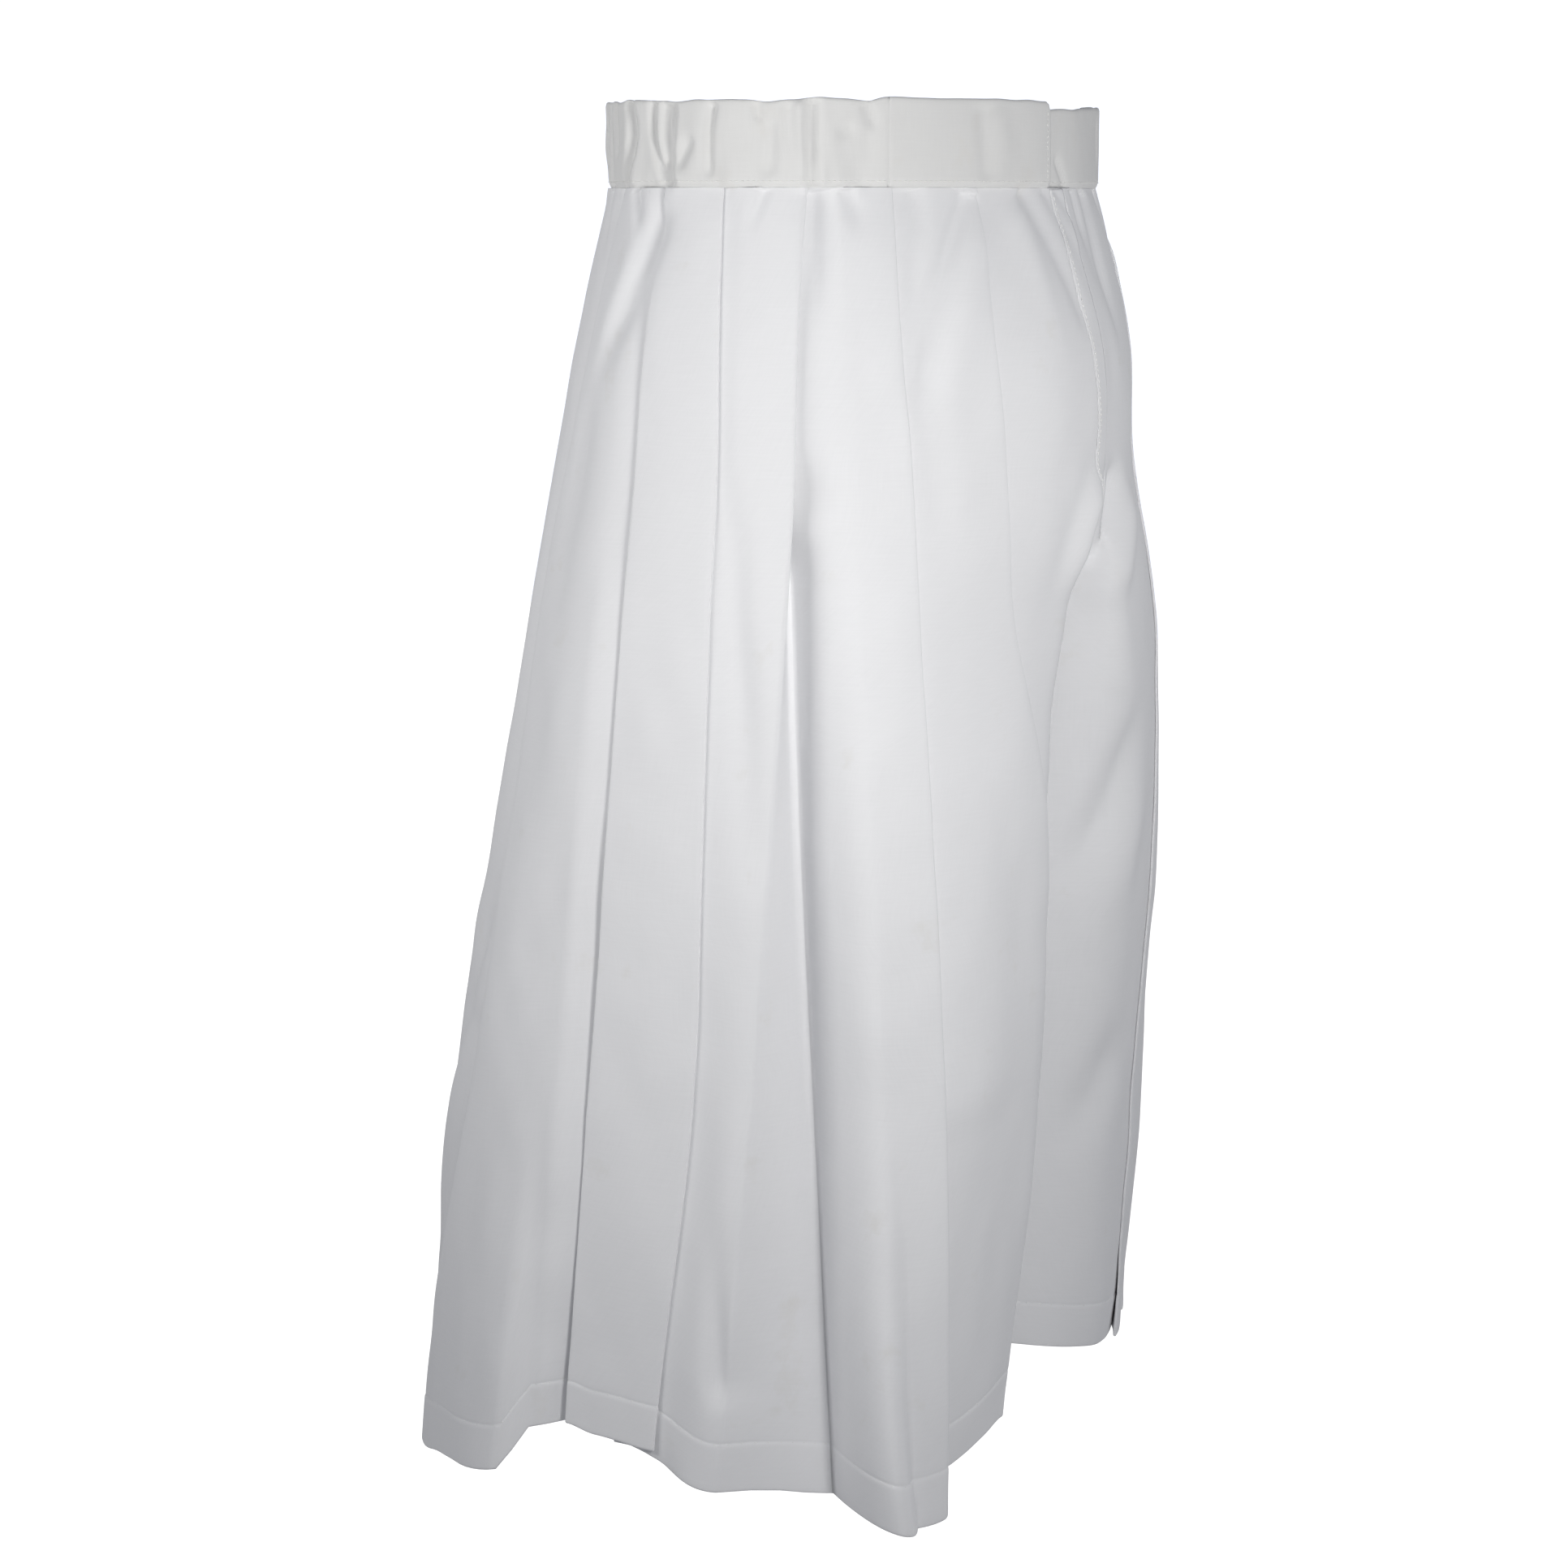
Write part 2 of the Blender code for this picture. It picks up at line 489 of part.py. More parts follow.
def build_band(name, place, outside, inside, lowered, collection):
    """A stretch of the waistband through level rows. outside and inside are how
    far its faces lie from the base section, lowered how much its top drops."""
    flat, normals = waist_ring(place)
    height = np.array(BAND_ROWS)[None, :]
    z = BAND_HEIGHT * height - lowered[:, None] * (height + 0.5)

    def face(distance):
        level = flat[:, None, :] + normals[:, None, :] * distance[..., None]
        return np.concatenate([level, z[..., None]], axis=-1)

    closed_wall(name, face(outside), face(inside),
                cotton(f"cotton_{name}", BAND_COTTON, CLOTH_ROUGHNESS), collection)


def build_waistband(collection):
    """Smooth right front over the left one, and the gathered elastic back."""
    shape = (1, len(BAND_ROWS))
    half_gap = SEAM_GAP / 2
    place = np.linspace(-ELASTIC_START + half_gap, LAP_END,
                        round((ELASTIC_START + LAP_END) / FRONT_STEP) + 1)
    outside = np.full((len(place), shape[1]), BAND_OUT)
    build_band("waistband_front_right", place, outside, outside - BAND_WALL,
               np.zeros_like(place), collection)

    place = np.linspace(LAP_UNDER, ELASTIC_START - half_gap,
                        round((ELASTIC_START - LAP_UNDER) / FRONT_STEP) + 1)
    sunk = (BAND_WALL + SEAM_GAP) * (1 - ease((place - LAP_END) / LAP_RISES))
    outside = np.tile((BAND_OUT - sunk)[:, None], shape)
    lowered = LAP_LOW * (1 - ease((place - LAP_END) / (ELASTIC_START - LAP_END)))
    build_band("waistband_front_left", place, outside, outside - BAND_WALL, lowered, collection)

    half_round = (section_length(RIGHT_LEVELS, "front", 0.0)
                  + section_length(RIGHT_LEVELS, "back", 0.0))
    share = np.linspace(0, 1, GATHERS * GATHER_STATIONS + 1)
    place = ELASTIC_START + half_gap + (2 * half_round - 2 * ELASTIC_START - SEAM_GAP) * share
    place = np.where(place > half_round, place - 2 * half_round, place)
    turns = 2 * math.pi * share
    uneven = 1 + 0.35 * np.sin(2.3 * turns + 1.0)
    wave = np.sin(GATHERS * turns + 0.9 * np.sin(3.3 * turns)) * uneven
    fade = ease(share * GATHERS / 2) * ease((1 - share) * GATHERS / 2)
    outside = BAND_OUT + GATHER_DEPTH * np.tile((wave * fade)[:, None], shape)
    inside = np.full_like(outside, BAND_OUT - BAND_WALL)
    build_band("waistband_back", place, outside, inside, np.zeros_like(place), collection)


def main():
    for thing in list(bpy.data.objects):
        bpy.data.objects.remove(thing, do_unlink=True)
    collection = bpy.data.collections.new("folk_breeches")
    bpy.context.scene.collection.children.link(collection)
    build_waistband(collection)
    outer, normals = build_leg("right", RIGHT_LEVELS, RIGHT_PLEATS, RIGHT_WAVES, collection)
    build_fly(outer, normals, collection)
    build_leg("left", LEFT_LEVELS, LEFT_PLEATS, LEFT_WAVES, collection)


main()
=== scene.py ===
import math

import bpy
import numpy as np
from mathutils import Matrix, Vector


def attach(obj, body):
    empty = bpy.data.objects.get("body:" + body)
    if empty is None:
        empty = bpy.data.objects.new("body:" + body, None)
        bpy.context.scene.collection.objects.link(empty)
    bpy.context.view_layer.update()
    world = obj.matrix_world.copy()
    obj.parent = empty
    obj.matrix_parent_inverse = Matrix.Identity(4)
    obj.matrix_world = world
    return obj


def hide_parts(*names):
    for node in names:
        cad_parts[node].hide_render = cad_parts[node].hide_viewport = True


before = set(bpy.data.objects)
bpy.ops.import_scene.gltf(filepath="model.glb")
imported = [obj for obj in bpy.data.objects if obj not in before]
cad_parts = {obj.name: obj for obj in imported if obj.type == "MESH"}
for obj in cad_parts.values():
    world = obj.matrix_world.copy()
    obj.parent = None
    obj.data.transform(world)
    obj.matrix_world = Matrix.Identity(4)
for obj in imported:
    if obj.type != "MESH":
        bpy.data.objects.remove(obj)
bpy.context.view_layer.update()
print("frame loaded,", len(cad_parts), "nodes")

# Metres, +Z up, the wearer's front is -Y and their left is +X. The origin is the
# centre of the waist at half the height of the waistband.

# Camera at the photograph's place: a lens of 83.7 mm, 2 m away, a little above the hips
shot = {"azimuth": -62.0, "tilt": 9.05, "distance": 2.0, "aside": 0.0396, "height": -0.030,
        "lens": 83.74, "sensor": 36.0, "near": 0.05, "far": 60.0}


def placeCamera(shot):
    turn, tilt = math.radians(shot["azimuth"]), math.radians(shot["tilt"])
    across = Vector((math.cos(turn), math.sin(turn), 0))
    toward = Vector((math.sin(turn), -math.cos(turn), 0))
    data = bpy.data.cameras.new("photoCamera")
    data.lens, data.sensor_width = shot["lens"], shot["sensor"]
    data.clip_start, data.clip_end = shot["near"], shot["far"]
    camera = bpy.data.objects.new("photoCamera", data)
    bpy.context.scene.collection.objects.link(camera)
    camera.location = toward * shot["distance"] - across * shot["aside"] + Vector((0, 0, shot["height"]))
    looking = -(toward * math.cos(tilt) + Vector((0, 0, math.sin(tilt))))
    camera.rotation_euler = looking.to_track_quat("-Z", "Y").to_euler()
    bpy.context.scene.camera = camera


placeCamera(shot)
print("camera placed")

# Cloth and cut, as in the solids, with a thinner cloth
cut = {"bandHeight": 0.045, "bandWall": 0.003, "bandOut": 0.0014, "legLength": 0.6575,
       "hemHeight": 0.025, "cloth": 0.0007, "seamGap": 0.0003, "sidePanel": -0.014,
       "riseStart": {"front": 0.150, "back": 0.130}, "riseReach": {"front": 0.146, "back": 0.143},
       "crotchDrop": 0.205, "crotchY": 0.008, "innerSquare": 2.6}
seamZ = -cut["bandHeight"] / 2 - cut["seamGap"]
hemTop = cut["legLength"] - cut["hemHeight"]

# Base sections of a leg: how far front, side and back reach at each drop below the seam. The
# two legs are alike in the first three.
levelColumns = ("drop", "front", "frontX", "side", "sideY", "back", "backX",
                "inner", "innerY", "squareFront", "squareBack")
upperLevels = (
    (0.000, 0.1200, 0.0002, 0.158, 0.000, 0.1205, 0.0002, 0.0002, 0.008, 2.10, 2.10),
    (0.035, 0.1310, 0.0002, 0.165, 0.002, 0.1290, 0.0002, 0.0002, 0.008, 2.10, 2.10),
    (0.080, 0.1440, 0.0002, 0.174, 0.004, 0.1370, 0.0002, 0.0003, 0.008, 2.00, 2.10))
levels = {
    "right": upperLevels + (
        (0.150, 0.1460, 0.0010, 0.184, 0.006, 0.1470, 0.0060, 0.0008, 0.008, 2.00, 2.15),
        (0.215, 0.1360, 0.0260, 0.191, 0.010, 0.1520, 0.0300, 0.0008, 0.010, 2.15, 2.15),
        (0.330, 0.1390, 0.0550, 0.200, 0.016, 0.1640, 0.0600, 0.0020, 0.016, 2.15, 2.15),
        (0.480, 0.1370, 0.0700, 0.210, 0.022, 0.1860, 0.0850, 0.0030, 0.022, 2.15, 2.15),
        (0.6575, 0.1280, 0.0750, 0.220, 0.026, 0.1980, 0.1000, 0.0040, 0.026, 2.90, 2.15)),
    "left": upperLevels + (
        (0.150, 0.1460, 0.0010, 0.186, 0.006, 0.1470, 0.0060, 0.0008, 0.008, 2.00, 2.15),
        (0.215, 0.1490, 0.0260, 0.193, 0.010, 0.1520, 0.0300, 0.0008, 0.010, 2.15, 2.15),
        (0.330, 0.1450, 0.0550, 0.200, 0.016, 0.1640, 0.0600, 0.0020, 0.016, 2.15, 2.15),
        (0.480, 0.1340, 0.0700, 0.208, 0.022, 0.1820, 0.0850, 0.0030, 0.022, 2.15, 2.15),
        (0.6575, 0.1240, 0.0700, 0.205, 0.026, 0.1920, 0.1000, 0.0040, 0.026, 3.20, 2.15))}

# Knife pleats from the side seam, by leg and half: place of the pressed edge at each stop, then
# how it opens towards the hem. round: how much its bends widen on the way down. rises: length over
# which the next panel comes out from under it, 0 for the whole panel.
pleatStops = (0.0, 0.100, 0.215, 0.320, 0.430, 0.6575)
pleatColumns = ("opens", "pace", "turn", "underSeam", "underHem", "lift", "bulge", "dip", "round", "rises")
pleats = {
    ("right", "front"): (
        ((0.004, 0.016, 0.023, 0.029, 0.034, 0.021), (0.60, 1, 175, 0.014, 0.024, 0, 0, -0.013, 0, 0)),
        ((0.048, 0.056, 0.063, 0.066, 0.068, 0.064), (0.12, 0.35, 26, 0.024, 0.066, 0.006, 0, 0.002, 1, 0)),
        ((0.092, 0.112, 0.131, 0.145, 0.156, 0.167), (0.45, 1, 115, 0.024, 0.04, 0.024, 0.022, 0.014, 1, 0)),
        ((0.144, 0.167, 0.196, 0.240, 0.256, 0.251), (0.35, 1, 75, 0.024, 0.04, 0, 0.004, -0.011, 1, 0))),
    ("right", "back"): (
        ((0.032, 0.031, 0.028, 0.027, 0.026, 0.033), (0.30, 1, 110, 0.014, 0.022, 0, 0, -0.019, 0.2, 0.018)),
        ((0.070, 0.090, 0.111, 0.109, 0.112, 0.172), (0.42, 0.6, 80, 0.024, 0.045, 0.008, 0, 0.026, 1, 0)),
        ((0.118, 0.142, 0.165, 0.180, 0.198, 0.238), (0.35, 1, 70, 0.024, 0.034, 0.006, 0.008, 0, 1, 0)),
        ((0.168, 0.196, 0.215, 0.245, 0.270, 0.310), (0.35, 1, 70, 0.024, 0.032, 0.002, 0.008, 0.004, 1, 0))),
    ("left", "front"): (
        ((0.004, 0.016, 0.023, 0.029, 0.034, 0.030), (0.55, 1, 150, 0.014, 0.026, 0, 0, 0, 0, 0)),
        ((0.048, 0.058, 0.070, 0.080, 0.090, 0.096), (0.35, 0.6, 150, 0.024, 0.028, 0, 0.004, 0, 0, 0)),
        ((0.092, 0.112, 0.133, 0.146, 0.152, 0.152), (0.45, 1, 150, 0.024, 0.028, 0, 0.002, 0, 0, 0)),
        ((0.144, 0.167, 0.192, 0.204, 0.210, 0.212), (0.60, 1, 172, 0.024, 0.026, 0, 0, 0, 0, 0))),
    ("left", "back"): (
        ((0.032, 0.031, 0.030, 0.030, 0.030, 0.036), (0.45, 1, 120, 0.014, 0.026, 0, 0, 0, 1, 0)),
        ((0.070, 0.088, 0.104, 0.112, 0.122, 0.14), (0.35, 0.8, 80, 0.024, 0.036, 0.008, 0.012, 0.006, 1, 0)),
        ((0.118, 0.142, 0.165, 0.180, 0.198, 0.225), (0.35, 1, 70, 0.024, 0.034, 0.006, 0.010, 0.004, 1, 0)),
        ((0.168, 0.196, 0.215, 0.245, 0.270, 0.305), (0.35, 1, 70, 0.024, 0.032, 0.002, 0.008, 0, 1, 0)))}
# Waves that only form near the hem: places along the section, how far the crest stands out,
# how much lower it hangs, and the drop where the wave begins
waveColumns = ("rise", "crest", "fall", "height", "lower", "start")
waves = {
    ("right", "front"): ((0.075, 0.132, 0.172, 0.000, 0.010, 0.40),),
    ("right", "back"): ((0.050, 0.062, 0.140, 0.012, 0.019, 0.46),),
    ("left", "front"): ((0.180, 0.320, 0.460, 0.000, -0.018, 0.40),
                        (0.080, 0.165, 0.240, -0.013, -0.002, 0.50)),
    ("left", "back"): ()}
bends = {"pressed": 0.0009, "pressedLeast": 0.45, "hem": 0.0015, "openRidge": 0.005, "openValley": 0.012,
         "underPace": 1.2, "openingShare": 0.15, "liftStart": 0.15, "looseAngle": math.radians(50),
         "foldClearance": 0.003, "leastReach": 0.3, "lastFlattens": 0.35, "lastLevels": 0.7}

# Rows down the outer cloth, and the same rows along the rise and the inseam
outerRows = (0.0, 0.030, 0.070, 0.115, 0.138, 0.165, 0.220, 0.285, 0.355, 0.430, 0.505, 0.570, 0.6325, 0.6575)
edgeRows = (0.0, 0.045, 0.100, 0.150, 0.162, 0.174, 0.196, 0.205, 0.290, 0.380, 0.470, 0.550, 0.6325, 0.6575)
# Finer rows, as distances from the seam, the hem's upper edge and its fold
finerRows = {"seam": (-0.0006, 0.0008, 0.0016, 0.0026),
             "hemTop": (-0.0022, -0.0012, -0.0005, 0, 0.0005, 0.0012, 0.0022),
             "fold": (-0.0016, -0.0008, -0.0003)}
fine = {"rows": 176, "firstSteps": 13, "panelSteps": 28, "gapSteps": 0.3, "bendSteps": 6, "underSteps": 4,
        "lastSteps": 46, "edgePull": 1.6, "sectionPoints": 241, "normalStep": 0.012,
        "creasePoints": 19, "creaseReach": 3, "noiseCells": 64}


def column(table, names, name):
    return np.array([row[names.index(name)] for row in table])


def ease(x):
    # 0 below 0, 1 above 1, between them 3x^2 - 2x^3
    x = np.clip(x, 0.0, 1.0)
    return x * x * (3 - 2 * x)


def smoothBetween(x, stops, values):
    # A cubic through the values at the stops, with slopes from their neighbours
    stops, values = np.asarray(stops, float), np.asarray(values, float)
    slopes = np.gradient(values, stops)
    x = np.clip(x, stops[0], stops[-1])
    k = np.clip(np.searchsorted(stops, x, side="right") - 1, 0, len(stops) - 2)
    span = stops[k + 1] - stops[k]
    t = (x - stops[k]) / span
    return ((2 * t ** 3 - 3 * t ** 2 + 1) * values[k] + (t ** 3 - 2 * t ** 2 + t) * span * slopes[k]
            + (3 * t ** 2 - 2 * t ** 3) * values[k + 1] + (t ** 3 - t ** 2) * span * slopes[k + 1])


def softNoise(a, b, cellA, cellB, seed):
    # Random heights from -1 to 1 on a lattice, joined by the ease curve in both directions
    n = fine["noiseCells"]
    lattice = np.random.default_rng(seed).uniform(-1, 1, (n, n))
    a, b = a / cellA, b / cellB
    i, j = np.floor(a).astype(int), np.floor(b).astype(int)
    s, t = ease(a - i), ease(b - j)
    corner = [[lattice[(i + p) % n, (j + q) % n] for q in (0, 1)] for p in (0, 1)]
    return ((corner[0][0] * (1 - s) + corner[1][0] * s) * (1 - t)
            + (corner[0][1] * (1 - s) + corner[1][1] * s) * t)


def centreSeamY(drop, half):
    # The rise turns under the body as a quarter of an ellipse: Y = middle + reach * sqrt(1 - turn^2)
    sign = -1.0 if half == "front" else 1.0
    start = cut["riseStart"][half]
    turn = np.clip((drop - start) / (cut["crotchDrop"] - start), 0.0, 1.0)
    return cut["crotchY"] + (sign * cut["riseReach"][half] - cut["crotchY"]) * np.sqrt(1 - turn ** 2)


def sectionPoint(table, half, drop, u):
    # Superellipse quarters: x = end + width * cos(a)^(2/n), y = middle + reach * sin(a)^(2/n),
    # for u 0 to 1 from the widest point, and the inner quarter for u 1 to 2
    drop, u = np.broadcast_arrays(np.asarray(drop, float), np.asarray(u, float))
    stops = column(table, levelColumns, "drop")
    at = {name: smoothBetween(drop, stops, column(table, levelColumns, name)) for name in levelColumns[1:]}
    sign = -1.0 if half == "front" else 1.0
    reach, xEnd = sign * at[half], at[half + "X"]
    power = 2 / at["square" + half.capitalize()]
    innerPower = 2 / cut["innerSquare"]
    innerY = np.where(drop < cut["crotchDrop"], centreSeamY(drop, half), at["innerY"])
    innerY = np.where(drop < cut["riseStart"][half], reach, innerY)
    angle = np.clip(u, 0, 1) * math.pi / 2
    x = -xEnd - (at["side"] - xEnd) * np.cos(angle) ** power
    y = at["sideY"] + (reach - at["sideY"]) * np.sin(angle) ** power
    angle = np.clip(u - 1, 0, 1) * math.pi / 2
    innerX = -xEnd + (xEnd - at["inner"]) * np.sin(angle) ** innerPower
    innerSide = innerY + (reach - innerY) * np.cos(angle) ** innerPower
    return np.where(u <= 1, x, innerX), np.where(u <= 1, y, innerSide)


def alongSection(table, half, drop, run):
    # The point at a run along the section and its outward normal; a run below zero lies on the other half
    drop, run = np.broadcast_arrays(np.asarray(drop, float), np.asarray(run, float))
    other = "back" if half == "front" else "front"
    u = np.linspace(0, 2, fine["sectionPoints"])
    out = np.zeros(drop.shape + (4,))
    for side, chosen in ((half, run >= 0), (other, run < 0)):
        if not chosen.any():
            continue
        d, target = drop[chosen], np.abs(run[chosen])
        x, y = sectionPoint(table, side, d[:, None], u[None, :])
        steps = np.hypot(np.diff(x, axis=1), np.diff(y, axis=1))
        length = np.concatenate([np.zeros((len(d), 1)), np.cumsum(steps, axis=1)], axis=1)
        k = np.clip((length < target[:, None]).sum(axis=1) - 1, 0, len(u) - 2)
        rows = np.arange(len(d))
        part = np.clip((target - length[rows, k]) / np.maximum(steps[rows, k], 1e-9), 0, 1)
        place = u[k] + part * (u[1] - u[0])
        px, py = sectionPoint(table, side, d, place)
        ax, ay = sectionPoint(table, side, d, np.clip(place - fine["normalStep"], 0, 2))
        bx, by = sectionPoint(table, side, d, np.clip(place + fine["normalStep"], 0, 2))
        flip = 1.0 if side == "front" else -1.0
        size = np.maximum(np.hypot(bx - ax, by - ay), 1e-12)
        out[chosen] = np.stack([px, py, (by - ay) / size * flip, -(bx - ax) / size * flip], axis=-1)
    return out


def sectionLength(table, half, drop):
    u = np.linspace(0, 2, fine["sectionPoints"])
    x, y = sectionPoint(table, half, np.asarray(drop, float)[..., None], u)
    return np.hypot(np.diff(x, axis=-1), np.diff(y, axis=-1)).sum(axis=-1)


def pleatSizes(pleat, drop):
    # Each size at every row: pressed at the seam, opened by ease * (share of the way down)^pace
    places, values = pleat
    size = dict(zip(pleatColumns, values))
    down = np.maximum(drop, 0) / cut["legLength"]
    downOpen = np.clip((drop - size["opens"]) / (cut["legLength"] - size["opens"]), 0, 1)
    opened = ease(downOpen / bends["openingShare"]) * downOpen ** size["pace"]
    turn = np.radians(180 - (180 - size["turn"]) * opened)
    unbent = opened * (math.pi - turn) / math.pi
    least = bends["pressedLeast"]
    pressed = bends["pressed"] * (least + (1 - least) * size["round"])
    pressed = pressed + bends["hem"] * size["round"] * down ** 2
    lifting = ease((1 + bends["liftStart"]) * down - bends["liftStart"])
    size.update({
        "edge": smoothBetween(drop, pleatStops, places), "turn": turn,
        "ridge": pressed + bends["openRidge"] * size["round"] * unbent,
        "valley": pressed + bends["openValley"] * size["round"] * unbent,
        "under": (size["underSeam"] * (1 - opened) ** 2
                  + size["underHem"] * opened * down ** bends["underPace"]),
        "lift": size["lift"] * lifting, "bulge": size["bulge"] * opened})
    return size


def halfPath(table, folds, half, sideDip, dropAt):
    # The cloth laid along a half section, station by station: panel, ridge bend, cloth under it,
    # valley bend, next panel. Each station has its run, how far it stands out, its drop and dip.
    drop = dropAt(0.0)
    beforeRun = np.full_like(drop, cut["sidePanel"] * (1.0 if half == "front" else -1.0))
    beforeOut, beforeDip = np.zeros_like(drop), sideDip
    covered, loose, rises = np.zeros_like(drop), np.zeros_like(drop), 0
    stations = []
    for number, pleat in enumerate(folds):
        size = pleatSizes(pleat, drop)
        turn, ridge, valley, under, dip = (size[k] for k in ("turn", "ridge", "valley", "under", "dip"))
        rise, width = size["lift"] - beforeOut, size["edge"] - ridge - beforeRun
        ahead = np.maximum(-2 * ridge * np.sin(turn) - under * np.cos(turn), 0)
        reach = np.maximum(1 - (ahead + bends["foldClearance"]) / width, bends["leastReach"])
        hidden = covered / width
        start = hidden + rises / width
        if rises:
            reach = np.minimum(reach, start)
        for t in np.linspace(0, 1, fine["panelSteps"] if number else fine["firstSteps"]):
            share = t
            if rises:   # more stations in the narrow gap beside the edge
                share = start * np.minimum(t / fine["gapSteps"], 1)
                share = share + (1 - start) * max(t - fine["gapSteps"], 0) / (1 - fine["gapSteps"])
            risen = np.minimum(share / reach, 1)
            level = ease((share - hidden) / (reach - hidden))
            wave = np.sin(math.pi / 2 * risen)
            out = beforeOut + rise * (level + (wave - level) * loose)
            out = out + size["bulge"] * np.sin(math.pi * risen) * loose
            leaning = beforeDip + (dip - beforeDip) * ease(share)
            stations.append((beforeRun + width * share, out, drop, leaning))
        atRun, atOut = beforeRun + width, size["lift"]
        for share in np.linspace(0, 1, fine["bendSteps"] + 1)[1:]:
            bent = turn * share
            stations.append((atRun + ridge * np.sin(bent), atOut - ridge * (1 - np.cos(bent)), drop, dip))
        foldRun, foldOut = atRun + ridge * np.sin(turn), atOut - ridge * (1 - np.cos(turn))
        for share in np.linspace(0, 1, fine["underSteps"] + 1)[1:]:
            deep = under * share
            stations.append((foldRun + deep * np.cos(turn), foldOut - deep * np.sin(turn), drop, dip))
        lowRun, lowOut = foldRun + under * np.cos(turn), foldOut - under * np.sin(turn)
        for share in np.linspace(0, 1, fine["bendSteps"] + 1)[1:-1]:
            bent = turn * (1 - share)
            stations.append((lowRun + valley * (np.sin(turn) - np.sin(bent)),
                             lowOut - valley * (np.cos(bent) - np.cos(turn)), drop, dip))
        beforeRun = lowRun + valley * np.sin(turn)
        beforeOut = lowOut - valley * (1 - np.cos(turn))
        beforeDip = dip
        covered = np.maximum(size["edge"] - beforeRun, 0)
        loose, rises = ease((math.pi - turn) / bends["looseAngle"]), size["rises"]
    left = sectionLength(table, half, dropAt(1.0)) - beforeRun
    for share in np.linspace(0, 1, fine["lastSteps"] + 1)[1:]:
        level = ease(share / bends["lastLevels"])
        out = beforeOut * (1 - ease((share - covered / left) / bends["lastFlattens"]))
        stations.append((beforeRun + left * share, out, dropAt(share), beforeDip * (1 - level)))
    grid = [[np.broadcast_to(value, drop.shape) for value in station] for station in stations]
    return np.array(grid).transpose(1, 0, 2)


